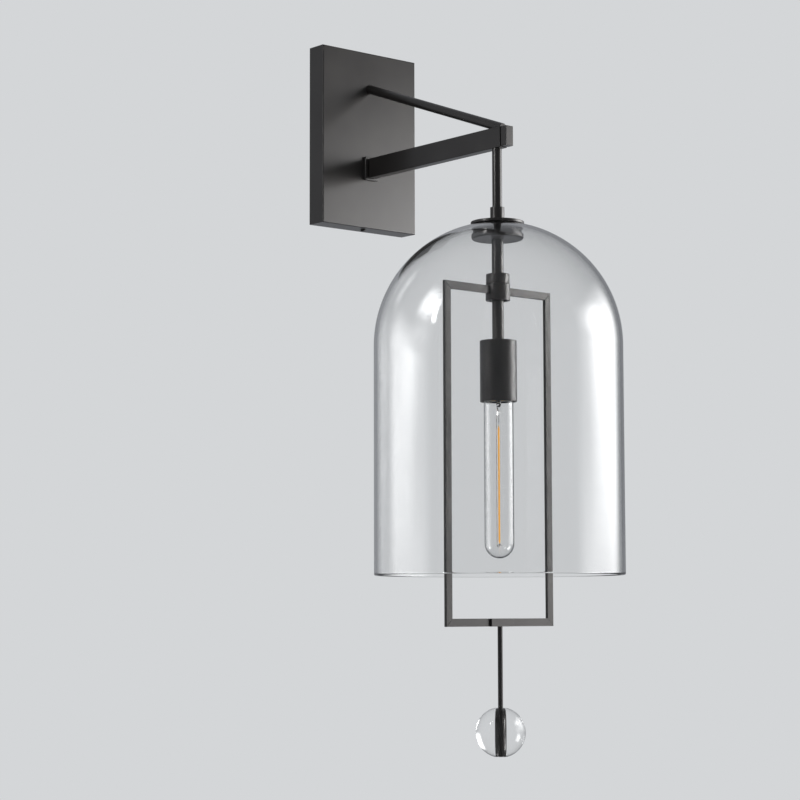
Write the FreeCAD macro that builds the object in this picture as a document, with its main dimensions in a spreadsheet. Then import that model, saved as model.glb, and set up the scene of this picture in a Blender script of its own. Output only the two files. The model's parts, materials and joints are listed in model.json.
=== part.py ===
"""Hanging pendant wall sconce: a box canopy on the wall carries a rectangular arm and a round strut.
A stem hangs from the arm's tip and holds a clear glass bell, a lamp holder with a tubular lamp, and a
flat-bar frame with a crystal ball under it.

Frame of the part: millimetres, +Z up. The wall is the plane Y = 0 and the lamp stands out towards -Y.
The origin is the centre of the canopy on the wall.
"""

import FreeCAD, Part
import math
import os
import re
import Sketcher

document = FreeCAD.newDocument("pendant_wall_sconce")
sizes = document.addObject("Spreadsheet::Sheet", "sizes")

# The driving dimensions. Levels are heights from the canopy's centre; reaches are distances from the wall.
DRIVING = {
    # canopy and what is inside it
    "canopy_width": 130.0,
    "canopy_height": 195.0,
    "canopy_depth": 24.0,
    "canopy_wall": 1.5,
    "canopy_bevel": 1.2,
    "bracket_width": 32.0,
    "bracket_thickness": 2.0,
    "bracket_clearance": 0.5,
    "tab_depth": 16.0,
    "slot_spacing": 84.0,
    "slot_width": 5.0,
    "slot_length": 16.0,
    "cable_hole_radius": 9.0,
    "lock_screw_radius": 2.0,
    "lock_screw_length": 9.0,
    "lock_head_radius": 2.8,
    "lock_head_height": 1.6,
    "screw_clearance": 0.2,
    "overrun": 0.5,
    "terminal_pitch": 9.0,
    "terminal_height": 18.0,
    "terminal_depth": 12.0,
    "terminal_level": 20.0,
    "port_radius": 1.4,
    "clamp_screw_radius": 1.5,
    "clamp_screw_inset": 4.5,
    "clamp_screw_length": 4.0,
    "earth_offset": 9.0,
    "earth_level": -66.0,
    "earth_screw_radius": 2.0,
    "earth_head_radius": 3.4,
    "earth_head_height": 2.2,
    "lug_radius": 4.5,
    "lug_thickness": 0.8,
    "lug_barrel_length": 8.0,
    "lug_barrel_radius": 1.6,
    "lug_lift": 0.2,
    "lug_overlap": 1.0,
    "lead_radius": 1.0,
    "lead_spacing": 2.1,
    "lead_entry": 3.0,
    "lead_drop": 10.0,
    "lead_bow": 5.0,
    "lead_swing": 3.0,
    "lead_lean": 0.4,
    "lead_tail": 1.0,
    "bend_share": 0.45,
    "lead_bend": 20.0,
    "arm_bend": 5.5,
    "stem_bend": 5.0,
    "earth_bend": 30.0,
    "earth_bulge": 3.0,
    "earth_bow": 10.0,
    "earth_straight": 15.0,
    "earth_crimp": 7.0,
    # arm
    "arm_level": -32.0,
    "arm_width": 10.0,
    "arm_height": 21.5,
    "arm_wall": 1.2,
    "arm_reach": 240.0,
    "arm_bevel": 0.6,
    "shadow_gap": 1.4,
    "base_width": 18.0,
    "base_height": 25.5,
    "base_depth": 3.6,
    "tongue_length": 10.0,
    "shank_radius": 4.0,
    "shank_length": 10.0,
    "lead_bore_radius": 2.5,
    "tongue_end": 4.2,
    "end_block_depth": 8.0,
    "end_block_height": 20.5,
    "washer_thickness": 1.0,
    "nut_height": 4.0,
    "arm_washer_radius": 9.0,
    "arm_nut_radius": 7.5,
    # strut
    "strut_radius": 4.8,
    "strut_level": 57.0,
    "strut_sink": 1.6,
    "stud_radius": 2.5,
    "stud_length": 9.0,
    "strut_washer_radius": 6.0,
    "strut_nut_radius": 4.6,
    # stem, discs and gaskets
    "stem_reach": 230.0,
    "upper_stem_radius": 5.0,
    "upper_stem_length": 61.0,
    "stem_bore_radius": 3.0,
    "spigot_radius": 3.3,
    "anchor_height": 5.0,
    "anchor_length": 11.0,
    "collar_radius": 7.25,
    "collar_height": 15.0,
    "thread_end_gap": 0.5,
    "cap_disc_radius": 27.3,
    "cap_disc_thickness": 3.0,
    "disc_bevel": 0.5,
    "gasket_margin": 3.0,
    "gasket_thickness": 1.0,
    "clamp_step_height": 3.7,
    "clamp_disc_radius": 26.8,
    "clamp_disc_thickness": 6.0,
    "clamp_edge_radius": 1.6,
    "boss_clearance": 1.0,
    # glass bell
    "glass_radius": 126.5,
    "glass_wall": 3.0,
    "glass_height": 356.0,
    "glass_flat_radius": 28.0,
    "glass_hole_radius": 11.0,
    # lower stem, hub and frame
    "lower_stem_radius": 6.0,
    "lower_stem_length": 104.7,
    "lock_collar_drop": 36.2,
    "lock_collar_radius": 12.0,
    "lock_collar_height": 10.2,
    "hub_gap": 0.3,
    "hub_radius": 12.5,
    "hub_height": 16.8,
    "hub_bevel": 0.5,
    "running_fit": 0.05,
    "ring_radius": 9.0,
    "ring_thickness": 1.2,
    "ring_groove_depth": 0.7,
    "ring_recess_depth": 3.0,
    "ring_recess_radius": 9.5,
    "grub_radius": 2.0,
    "grub_length": 4.0,
    "bar_face": 8.0,
    "bar_depth": 3.5,
    "bar_bevel": 0.3,
    "bar_inset": 2.35,
    "bar_seat": 8.5,
    "frame_width": 145.5,
    "frame_height": 344.5,
    # block, rod and ball under the frame
    "block_width": 30.0,
    "block_depth": 8.5,
    "block_bevel": 0.4,
    "rod_radius": 2.5,
    "rod_thread": 6.0,
    "drop_length": 105.3,
    "ball_radius": 25.0,
    "ball_flat_radius": 7.0,
    "sleeve_radius": 3.75,
    "end_nut_radius": 5.75,
    "end_nut_height": 2.8,
    "end_nut_clearance": 0.3,
    # lamp holder
    "socket_radius": 18.75,
    "socket_length": 62.3,
    "socket_wall": 1.2,
    "socket_bevel": 0.8,
    "socket_spigot_length": 7.0,
    "socket_nut_radius": 9.0,
    "insert_clearance": 0.15,
    "insert_drop": 7.2,
    "insert_inset": 2.2,
    "lead_hole_radius": 1.3,
    "lead_hole_depth": 12.0,
    "shell_radius": 13.9,
    "shell_wall": 0.4,
    "contact_radius": 4.5,
    "contact_thickness": 1.5,
    "contact_gap": 0.3,
    "terminal_screw_offset": 12.5,
    "terminal_screw_radius": 2.6,
    "terminal_screw_height": 2.0,
    # lamp
    "lamp_length": 185.0,
    "lamp_showing": 158.3,
    "lamp_radius": 15.0,
    "lamp_glass_wall": 1.0,
    "neck_radius": 11.8,
    "neck_length": 5.0,
    "shoulder_length": 3.0,
    "cap_radius": 12.8,
    "cap_wall": 0.5,
    "thread_height": 0.35,
    "thread_pitch": 3.6,
    "thread_start": 3.0,
    "thread_share": 0.9,
    "cap_shoulder": 2.0,
    "cap_inner_shoulder": 3.0,
    "cap_rim_width": 4.0,
    "insulator_height": 2.4,
    "insulator_top_radius": 6.0,
    "insulator_rim": 1.0,
    "tip_radius": 4.0,
    "tip_height": 1.0,
    "flare_height": 4.0,
    "mount_radius": 2.6,
    "mount_length": 18.5,
    "filament_radius": 0.9,
    "filament_length": 119.0,
    "filament_drop": 24.5,
    "wire_radius": 0.35,
    "return_wire_offset": 3.4,
    "return_wire_bend": 1.5,
}

# Places and lengths that follow from the driving dimensions.
DERIVED = {
    "front_inside": "canopy_depth - canopy_wall",
    "bracket_height": "canopy_height - 2 * canopy_wall - 2 * bracket_clearance",
    "lock_screw_reach": "canopy_depth / 2",
    "terminal_reach": "bracket_thickness + terminal_depth / 2",
    "terminal_bottom": "terminal_level - terminal_height / 2",
    "lug_axis": "lug_barrel_radius + lug_lift",
    "arm_top": "arm_level + arm_height / 2",
    "arm_bottom": "arm_level - arm_height / 2",
    "arm_start": "canopy_depth + base_depth + shadow_gap",
    "arm_length": "arm_reach - arm_start",
    "tongue_width": "arm_width - 2 * arm_wall",
    "tongue_height": "arm_height - 2 * arm_wall",
    "strut_tip_level": "arm_top - strut_sink",
    "strut_run": "arm_reach - canopy_depth",
    "strut_fall": "strut_level - strut_tip_level",
    "collar_top": "arm_bottom - upper_stem_length",
    "cap_disc_top": "collar_top - collar_height",
    "cap_disc_bottom": "cap_disc_top - cap_disc_thickness",
    "glass_top": "cap_disc_bottom - gasket_thickness",
    "glass_rim": "glass_top - glass_height",
    "gasket_radius": "glass_flat_radius - gasket_margin",
    "dome_rise": "sqrt(glass_radius ^ 2 - glass_flat_radius ^ 2)",
    "inner_radius": "glass_radius - glass_wall",
    "inner_flat_radius": "sqrt(inner_radius ^ 2 - (dome_rise - glass_wall) ^ 2)",
    "clamp_seat": "glass_top - glass_wall - gasket_thickness",
    "clamp_step": "clamp_seat - clamp_step_height",
    "clamp_bottom": "clamp_step - clamp_disc_thickness",
    "boss_radius": "glass_hole_radius - boss_clearance",
    "boss_height": "glass_wall + 2 * gasket_thickness - thread_end_gap",
    "thread_middle": "collar_top - collar_height / 2",
    "lock_collar_top": "clamp_bottom - lock_collar_drop",
    "lock_collar_bottom": "lock_collar_top - lock_collar_height",
    "hub_top": "lock_collar_bottom - hub_gap",
    "hub_bottom": "hub_top - hub_height",
    "grub_level": "hub_height / 2",
    "ring_top": "hub_bottom + ring_recess_depth",
    "frame_top": "hub_top - bar_inset",
    "frame_bottom": "frame_top - frame_height",
    "half_frame": "frame_width / 2",
    "socket_top": "clamp_bottom - lower_stem_length",
    "socket_mouth": "socket_top - socket_length",
    "insert_radius": "socket_radius - socket_wall - insert_clearance",
    "insert_top": "socket_top - insert_drop",
    "insert_bottom": "socket_mouth + insert_inset",
    "lamp_tip": "socket_mouth - lamp_showing",
    "lamp_top": "lamp_tip + lamp_length",
    "shell_roof": "lamp_top + contact_gap + contact_thickness",
    "cap_bottom": "socket_mouth + shoulder_length",
    "cap_length": "lamp_top - tip_height - insulator_height - cap_bottom",
    "lamp_glass_top": "cap_bottom + neck_length",
    "mount_foot": "lamp_glass_top - mount_length - flare_height",
    "filament_top": "socket_mouth - filament_drop",
    "filament_bottom": "filament_top - filament_length",
    "ball_centre": "frame_bottom - drop_length",
    "ball_half_height": "sqrt(ball_radius ^ 2 - ball_flat_radius ^ 2)",
    "ball_top": "ball_centre + ball_half_height",
    "ball_bottom": "ball_centre - ball_half_height",
}

UP = FreeCAD.Vector(0, 0, 1)
SIDEWAYS = FreeCAD.Rotation(FreeCAD.Vector(1, 0, 0), 90)     # turns the local +Z to -Y, away from the wall
BACKWARDS = FreeCAD.Rotation(FreeCAD.Vector(1, 0, 0), -90)   # turns the local +Z to +Y, towards the wall
UPSIDE_DOWN = FreeCAD.Rotation(FreeCAD.Vector(1, 0, 0), 180)

SUB_PARTS = []


# ---- the sheet, and formulas on it ------------------------------------------------------------------

def fill_sheet():
    """One row for each driving dimension: its name in words and its value, which has the alias."""
    for row, (name, number) in enumerate(DRIVING.items(), start=1):
        sizes.set("A%d" % row, name.replace("_", " "))
        sizes.set("B%d" % row, str(number))
        sizes.setAlias("B%d" % row, name)
    document.recompute()


def formula(text):
    """The text as an expression on the sheet, with each derived name worked out in full."""
    def in_full(match):
        word = match.group(0)
        if word in DERIVED:
            return "(" + formula(DERIVED[word]) + ")"
        return "sizes." + word if word in DRIVING else word
    return re.sub(r"[a-z_]+", in_full, text)


def value(text):
    return float(sizes.evalExpression(formula(text)))


def bind(thing, field, text):
    thing.setExpression(field, formula(text))


def put(thing, place, rotation=None):
    """Places a sub-part or a tool shape at three formulas, for X, Y and Z."""
    thing.Placement = FreeCAD.Placement(FreeCAD.Vector(*map(value, place)), rotation or FreeCAD.Rotation())
    for axis, text in zip("xyz", place):
        if text != "0":
            bind(thing, "Placement.Base." + axis, text)
    return thing


def sub_part(thing, label):
    thing.Label = label
    SUB_PARTS.append(thing)
    return thing


# ---- sketches ---------------------------------------------------------------------------------------

def fix(sketch, edge, point, across, up):
    """Holds a point of an edge at two formulas from the sketch's origin."""
    for kind, text, axis in (("DistanceX", across, -2), ("DistanceY", up, -1)):
        if text == "0":
            sketch.addConstraint(Sketcher.Constraint("PointOnObject", edge, point, axis))
        else:
            number = sketch.addConstraint(Sketcher.Constraint(kind, -1, 1, edge, point, value(text)))
            bind(sketch, "Constraints[%d]" % number, text)


def size_radius(sketch, edge, text):
    number = sketch.addConstraint(Sketcher.Constraint("Radius", edge, value(text)))
    bind(sketch, "Constraints[%d]" % number, text)


def arc_between(start, end, radius, leftwards):
    """The short arc from start to end, with its centre to the left or the right of the way there."""
    along = end.sub(start)
    half = along.Length / 2
    side = FreeCAD.Vector(-along.y, along.x, 0).normalize() * (1 if leftwards else -1)
    centre = start.add(along * 0.5).add(side * math.sqrt(radius ** 2 - half ** 2))
    first, last = (start, end) if leftwards else (end, start)
    angles = [math.atan2(point.y - centre.y, point.x - centre.x) for point in (first, last)]
    return Part.ArcOfCircle(Part.Circle(centre, UP, radius), *angles)


def draw_outline(sketch, corners, arcs):
    """A closed outline. arcs gives some edges, by number, a radius and the side of their centre."""
    base = sketch.GeometryCount
    points = [FreeCAD.Vector(value(across), value(up), 0) for across, up in corners]
    ends = []
    for number, point in enumerate(points):
        following = points[(number + 1) % len(points)]
        if number in arcs:
            radius, leftwards = arcs[number]
            sketch.addGeometry(arc_between(point, following, value(radius), leftwards))
            ends.append((1, 2) if leftwards else (2, 1))
        else:
            sketch.addGeometry(Part.LineSegment(point, following))
            ends.append((1, 2))
    for number, (across, up) in enumerate(corners):
        before = (number - 1) % len(corners)
        sketch.addConstraint(
            Sketcher.Constraint("Coincident", base + before, ends[before][1], base + number, ends[number][0]))
        fix(sketch, base + number, ends[number][0], across, up)
    for number, (radius, _leftwards) in arcs.items():
        size_radius(sketch, base + number, radius)


def draw_circle(sketch, across, up, radius):
    edge = sketch.addGeometry(Part.Circle(FreeCAD.Vector(value(across), value(up), 0), UP, value(radius)))
    fix(sketch, edge, 3, across, up)
    size_radius(sketch, edge, radius)


def sketch_on(body, plane, shapes, level="0", arcs=None):
    """A sketch on one of the body's own planes. A list of corners is an outline, a tuple is a circle."""
    sketch = body.newObject("Sketcher::SketchObject", body.Label + "_sketch")
    support = [feature for feature in body.Origin.OriginFeatures if feature.Role == plane][0]
    sketch.AttachmentSupport = [(support, "")]
    sketch.MapMode = "FlatFace"
    if level != "0":
        bind(sketch, "AttachmentOffset.Base.z", level)
    for shape in shapes:
        if isinstance(shape, list):
            draw_outline(sketch, shape, arcs or {})
        else:
            draw_circle(sketch, *shape)
    return sketch


def rectangle(width, height, across="0", up="0"):
    """The corners of a rectangle about a centre."""
    left, right = "%s - (%s) / 2" % (across, width), "%s + (%s) / 2" % (across, width)
    low, high = "%s - (%s) / 2" % (up, height), "%s + (%s) / 2" % (up, height)
    return [(left, low), (right, low), (right, high), (left, high)]


# ---- features ---------------------------------------------------------------------------------------

def new_body(label, place=("0", "0", "0"), rotation=None):
    return sub_part(put(document.addObject("PartDesign::Body", label), place, rotation), label)


def pad(body, plane, shapes, length, level="0", reverse=False):
    """Adds a straight extrusion along the plane's normal, or against it."""
    feature = body.newObject("PartDesign::Pad", body.Label + "_pad")
    feature.Profile = sketch_on(body, plane, shapes, level)
    feature.Reversed = reverse
    bind(feature, "Length", length)
    document.recompute()
    return feature


def pocket(body, plane, shapes, length, level="0", along_normal=True):
    """Takes an extrusion away, along the plane's normal or against it, and makes sure that it cut."""
    before = body.Shape.Volume
    feature = body.newObject("PartDesign::Pocket", body.Label + "_pocket")
    feature.Profile = sketch_on(body, plane, shapes, level)
    feature.Reversed = along_normal
    bind(feature, "Length", length)
    document.recompute()
    if body.Shape.Volume >= before - 1e-6:
        raise ValueError("a pocket of %s cuts nothing" % body.Label)
    return feature


def chamfer(body, feature, size, chosen):
    """Bevels the edges of the feature that pass the test."""
    edges = enumerate(feature.Shape.Edges, start=1)
    bevel = body.newObject("PartDesign::Chamfer", body.Label + "_chamfer")
    bevel.Base = (feature, ["Edge%d" % number for number, edge in edges if chosen(edge)])
    bind(bevel, "Size", size)
    document.recompute()
    return bevel


def at_depth(depth):
    """A test for edges that lie at the given depth in front of a body's origin."""
    level = -value(depth)
    return lambda edge: all(abs(end.Point.y - level) < 1e-6 for end in edge.Vertexes)


def turned(label, place, corners, arcs=None, rotation=None):
    """A turned piece: its half section is given as radius and height, and spun about the local Z."""
    body = new_body(label, place, rotation)
    feature = body.newObject("PartDesign::Revolution", label + "_turning")
    sketch = sketch_on(body, "XZ_Plane", [corners], arcs=arcs)
    feature.Profile = sketch
    feature.ReferenceAxis = (sketch, ["V_Axis"])
    feature.Angle = 360
    document.recompute()
    return body


def ring(label, place, inner, outer, height, rotation=None):
    corners = [(inner, "0"), (outer, "0"), (outer, height), (inner, height)]
    return turned(label, place, corners, rotation=rotation)


def cylinder(name, place, radius, length, rotation=None):
    shape = document.addObject("Part::Cylinder", name)
    bind(shape, "Radius", radius)
    bind(shape, "Height", length)
    return put(shape, place, rotation)


def hexagon(name, place, radius, length, rotation=None):
    shape = document.addObject("Part::Prism", name)
    shape.Polygon = 6
    bind(shape, "Circumradius", radius)
    bind(shape, "Height", length)
    return put(shape, place, rotation)


def joined(label, shapes, kind="Part::MultiFuse"):
    whole = document.addObject(kind, label)
    setattr(whole, "Links" if kind == "Part::Compound" else "Shapes", shapes)
    return whole


def hex_nut(label, place, radius, bore, height, rotation=None):
    """A hexagon nut: a prism less its thread's bore."""
    nut = document.addObject("Part::Cut", label)
    nut.Base = hexagon(label + "_hexagon", place, radius, height, rotation)
    nut.Tool = cylinder(label + "_bore", place, bore, height, rotation)
    return sub_part(nut, label)


def screw(name, place, radius, length, head_radius, head_height, rotation=None):
    """A screw whose shank runs along the local Z from its head's seat, and whose head lies behind it."""
    corners = [
        ("0", "-(%s)" % head_height), (head_radius, "-(%s)" % head_height), (head_radius, "0"),
        (radius, "0"), (radius, length), ("0", length),
    ]
    return turned(name, place, corners, rotation=rotation)


# ---- leads ------------------------------------------------------------------------------------------

def rounded_route(points, radii):
    """A path of straight runs joined by tangent arcs, one radius for each inner point."""
    edges = []
    start = points[0]
    for before, corner, after, radius in zip(points, points[1:], points[2:], radii):
        incoming = (corner - before).normalize()
        outgoing = (after - corner).normalize()
        turn = incoming.getAngle(outgoing)
        tangent = radius * math.tan(turn / 2)
        entry = corner - incoming * tangent
        leave = corner + outgoing * tangent
        inward = (outgoing - incoming).normalize()
        middle = corner + inward * (radius / math.cos(turn / 2) - radius)
        edges.append(Part.LineSegment(start, entry).toShape())
        edges.append(Part.Arc(entry, middle, leave).toShape())
        start = leave
    edges.append(Part.LineSegment(start, points[-1]).toShape())
    return Part.Wire(edges)


def arc_radii(points, largest):
    """As large as the two runs beside a corner allow, and no larger than the room there."""
    radii = []
    for before, corner, after, room in zip(points, points[1:], points[2:], largest):
        incoming = corner - before
        outgoing = after - corner
        shorter = min(incoming.Length, outgoing.Length)
        radii.append(min(value("bend_share") * shorter / math.tan(incoming.getAngle(outgoing) / 2), room))
    return radii


def pipe(label, places, largest, thickness):
    """A wire of the given route and radius. largest is the room for the bend at each inner point."""
    points = [FreeCAD.Vector(*map(value, place)) for place in places]
    radii = arc_radii(points, [value(room) for room in largest])
    print(label, "bend radii", ["%.1f" % radius for radius in radii])
    path = rounded_route(points, radii)
    radius = value(thickness)
    section = Part.Wire(Part.makeCircle(radius, points[0], points[1] - points[0]))
    wire = document.addObject("Part::Feature", label)
    wire.Shape = path.makePipeShell([section], True, False)
    expected = math.pi * radius ** 2 * path.Length
    if abs(wire.Shape.Volume / expected - 1) > 0.01:
        raise ValueError("%s has the wrong volume" % label)
    return wire


def leads():
    """The two supply leads from the terminal strip to the lamp holder, and the earth lead."""
    start = "terminal_bottom + lead_entry"
    below = "terminal_bottom - lead_drop"
    half_way = "(arm_level + terminal_bottom) / 2 - lead_bow"
    end = "insert_top - lead_hole_depth + lead_tail"
    for label, port, swing, lane in (("live_lead", "-terminal_pitch", "-lead_swing", "-lead_spacing / 2"),
                                     ("neutral_lead", "0", "lead_spacing", "lead_spacing / 2")):
        route = [
            (port, "-terminal_reach", start), (port, "-terminal_reach", below),
            (swing, "-terminal_reach + lead_lean", half_way), (lane, "-terminal_reach", "arm_level"),
            (lane, "-stem_reach", "arm_level"), (lane, "-stem_reach", end),
        ]
        bends = ["lead_bend", "lead_bend", "arm_bend", "stem_bend"]
        sub_part(pipe(label, route, bends, "lead_radius"), label)
    barrel = "-(bracket_thickness + lug_axis)"
    bulge = "terminal_pitch + earth_bulge"
    route = [
        ("terminal_pitch", "-terminal_reach", start), ("terminal_pitch", "-terminal_reach", below),
        (bulge, "-terminal_reach + lead_radius", "arm_level + earth_bow"),
        (bulge, "%s - lead_radius" % barrel, "arm_level - earth_bow"),
        ("earth_offset", barrel, "earth_level + earth_straight"),
        ("earth_offset", barrel, "earth_level + earth_crimp"),
    ]
    sub_part(pipe("earth_lead", route, ["earth_bend"] * 4, "lead_radius"), "earth_lead")


# ---- wall bracket and canopy ------------------------------------------------------------------------

def wall_bracket():
    """A steel strip on the wall, with a tab turned out at each end for the canopy's lock screws."""
    body = new_body("wall_bracket")
    plate = rectangle("bracket_width", "bracket_height")
    pad(body, "XZ_Plane", [plate, ("0", "0", "cable_hole_radius")], "bracket_thickness")
    for sign in ("", "-"):
        middle = "%s(bracket_height - bracket_thickness) / 2" % sign
        tab = rectangle("bracket_width", "bracket_thickness", up=middle)
        pad(body, "XZ_Plane", [tab], "tab_depth")
    pocket(body, "XY_Plane", [("0", "-lock_screw_reach", "lock_screw_radius")],
           "bracket_height + 2 * overrun", "-bracket_height / 2 - overrun")
    for sign in ("", "-"):
        centre = "%sslot_spacing / 2" % sign
        straight = rectangle("slot_width", "slot_length - slot_width", up=centre)
        pocket(body, "XZ_Plane", [straight], "bracket_thickness")
        for end in ("+", "-"):
            middle = "%s %s (slot_length - slot_width) / 2" % (centre, end)
            pocket(body, "XZ_Plane", [("0", middle, "slot_width / 2")], "bracket_thickness")
    pocket(body, "XZ_Plane", [("earth_offset", "earth_level", "earth_screw_radius")], "bracket_thickness")


def canopy_shell():
    """The box on the wall: open at the back, bevelled round its front."""
    body = new_body("canopy_shell")
    block = pad(body, "XZ_Plane", [rectangle("canopy_width", "canopy_height")], "canopy_depth")
    chamfer(body, block, "canopy_bevel", at_depth("canopy_depth"))
    inside = rectangle("canopy_width - 2 * canopy_wall", "canopy_height - 2 * canopy_wall")
    pocket(body, "XZ_Plane", [inside], "front_inside")
    pocket(body, "XZ_Plane", [("0", "arm_level", "shank_radius + screw_clearance")], "canopy_depth")
    pocket(body, "XZ_Plane", [("0", "strut_level", "stud_radius + screw_clearance")], "canopy_depth")
    pocket(body, "XY_Plane", [("0", "-lock_screw_reach", "lock_screw_radius + screw_clearance")],
           "canopy_height + 2 * overrun", "-canopy_height / 2 - overrun")


def canopy_lock_screws():
    """One screw up through the canopy's underside and one down through its top."""
    screws = []
    for name, level, rotation in (("lower", "-canopy_height / 2", None),
                                  ("upper", "canopy_height / 2", UPSIDE_DOWN)):
        place = ("0", "-lock_screw_reach", level)
        shank = cylinder("lock_shank_" + name, place, "lock_screw_radius", "lock_screw_length", rotation)
        head = cylinder("lock_head_" + name, place, "lock_head_radius", "lock_head_height",
                        UPSIDE_DOWN if rotation is None else None)
        screws.append(joined("lock_screw_" + name, [shank, head]))
    sub_part(joined("canopy_lock_screws", screws, "Part::Compound"), "canopy_lock_screws")


def terminal_strip():
    """A three-pole terminal strip on the bracket, and its clamp screws."""
    width = "3 * terminal_pitch"
    body = new_body("terminal_strip", ("0", "-bracket_thickness", "terminal_level"))
    pad(body, "XZ_Plane", [rectangle(width, "terminal_height")], "terminal_depth")
    screws = []
    for pole, column in enumerate(("-terminal_pitch", "0", "terminal_pitch")):
        pocket(body, "XY_Plane", [(column, "-terminal_depth / 2", "port_radius")],
               "terminal_height", "-terminal_height / 2")
        for row, sign in enumerate(("", "-")):
            up = "%s(terminal_height / 2 - clamp_screw_inset)" % sign
            depth = "terminal_depth / 2 - port_radius"
            pocket(body, "XZ_Plane", [(column, up, "clamp_screw_radius + screw_clearance")], depth,
                   "terminal_depth - (%s)" % depth)
            seat = "-(bracket_thickness + terminal_depth - (%s))" % depth
            screws.append(cylinder("clamp_screw_%d_%d" % (pole, row),
                                   (column, seat, "terminal_level + (%s)" % up),
                                   "clamp_screw_radius", "clamp_screw_length", SIDEWAYS))
    sub_part(joined("terminal_clamp_screws", screws, "Part::Compound"), "terminal_clamp_screws")


def earth_point():
    """The earth screw on the bracket, and the ring tongue that it holds."""
    seat = "-(bracket_thickness + lug_thickness)"
    lug = new_body("earth_lug", ("earth_offset", "-bracket_thickness", "earth_level"))
    pad(lug, "XZ_Plane", [("0", "0", "lug_radius"), ("0", "0", "earth_screw_radius")], "lug_thickness")
    pad(lug, "XY_Plane", [("0", "-lug_axis", "lug_barrel_radius")], "lug_barrel_length",
        "lug_radius - lug_overlap")
    pocket(lug, "XY_Plane", [("0", "-lug_axis", "lead_radius")], "lug_barrel_length",
           "lug_radius + lug_overlap")
    screw("earth_screw", ("earth_offset", seat, "earth_level"), "earth_screw_radius",
          "bracket_thickness + lug_thickness", "earth_head_radius", "earth_head_height", BACKWARDS)


# ---- arm and strut ----------------------------------------------------------------------------------

def arm_base():
    """The plate under the arm's root, with a hollow threaded shank behind and a tongue in the arm."""
    body = new_body("arm_base_plate", ("0", "-canopy_depth", "arm_level"))
    plate = pad(body, "XZ_Plane", [rectangle("base_width", "base_height")], "base_depth")
    chamfer(body, plate, "arm_bevel", at_depth("base_depth"))
    pad(body, "XZ_Plane", [rectangle("tongue_width", "tongue_height")],
        "shadow_gap + tongue_length", "base_depth")
    pad(body, "XZ_Plane", [("0", "0", "shank_radius")], "shank_length", reverse=True)
    length = "shank_length + base_depth + shadow_gap + tongue_length"
    pocket(body, "XZ_Plane", [("0", "0", "lead_bore_radius")], length, "-shank_length")


def arm_tube():
    """The rectangular tube of the arm, with a hole in its floor for the stem's spigot."""
    body = new_body("arm_tube", ("0", "-arm_start", "arm_level"))
    tube = pad(body, "XZ_Plane", [rectangle("arm_width", "arm_height")], "arm_length")
    chamfer(body, tube, "arm_bevel", lambda edge: True)
    pocket(body, "XZ_Plane", [rectangle("tongue_width", "tongue_height")], "arm_length")
    pocket(body, "XY_Plane", [("0", "arm_start - stem_reach", "spigot_radius")],
           "arm_height / 2", "-arm_height / 2")


def arm_end():
    """The small block past the arm's tip, set off by a dark gap, with its tongue in the tube."""
    body = new_body("arm_end_block", ("0", "-(arm_reach + shadow_gap)", "arm_level"))
    block = pad(body, "XZ_Plane", [rectangle("arm_width", "end_block_height")], "end_block_depth")
    chamfer(body, block, "arm_bevel", lambda edge: True)
    reach = "shadow_gap + tongue_end"
    pad(body, "XZ_Plane", [rectangle("tongue_width", "tongue_height")], reach, reverse=True)


def arm_fixings():
    """The washer and nut that pull the arm's shank against the canopy from inside."""
    seat = ("0", "-front_inside", "arm_level")
    ring("arm_washer", seat, "shank_radius", "arm_washer_radius", "washer_thickness", BACKWARDS)
    nut_place = ("0", "-front_inside + washer_thickness", "arm_level")
    hex_nut("arm_nut", nut_place, "arm_nut_radius", "shank_radius", "nut_height", BACKWARDS)


def strut():
    """The sloping rod, cut flush with the canopy, the arm's top and the arm's end, and its stud."""
    slope = "atan(strut_fall / strut_run)"
    span = "sqrt(strut_run ^ 2 + strut_fall ^ 2)"
    share = "(4 * strut_radius / %s)" % span
    start = ("0", "-canopy_depth + strut_run * %s" % share, "strut_level + strut_fall * %s" % share)
    rod = cylinder("strut_bar", start, "strut_radius", "%s + 8 * strut_radius" % span, SIDEWAYS)
    bind(rod, "Placement.Rotation.Angle", "90 deg + %s" % slope)
    room = document.addObject("Part::Box", "strut_room")
    bind(room, "Length", "4 * strut_radius")
    bind(room, "Width", "strut_run")
    bind(room, "Height", "2 * strut_fall")
    put(room, ("-2 * strut_radius", "-arm_reach", "arm_top"))
    cut_rod = document.addObject("Part::Common", "strut_cut_rod")
    cut_rod.Base = rod
    cut_rod.Tool = room
    stud = cylinder("strut_stud", ("0", "-canopy_depth - strut_radius", "strut_level"),
                    "stud_radius", "strut_radius + stud_length", BACKWARDS)
    sub_part(joined("strut_rod", [cut_rod, stud]), "strut_rod")
    seat = ("0", "-front_inside", "strut_level")
    ring("strut_washer", seat, "stud_radius", "strut_washer_radius", "washer_thickness", BACKWARDS)
    nut_place = ("0", "-front_inside + washer_thickness", "strut_level")
    hex_nut("strut_nut", nut_place, "strut_nut_radius", "stud_radius", "nut_height", BACKWARDS)


# ---- stem and the glass clamp -----------------------------------------------------------------------

def stem_anchor():
    """The tapped block in the arm that takes the stem's spigot."""
    floor = "arm_bottom + arm_wall"
    body = new_body("stem_anchor_block", ("0", "-stem_reach", floor))
    pad(body, "XY_Plane", [rectangle("tongue_width", "anchor_length"), ("0", "0", "spigot_radius")],
        "anchor_height")


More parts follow.
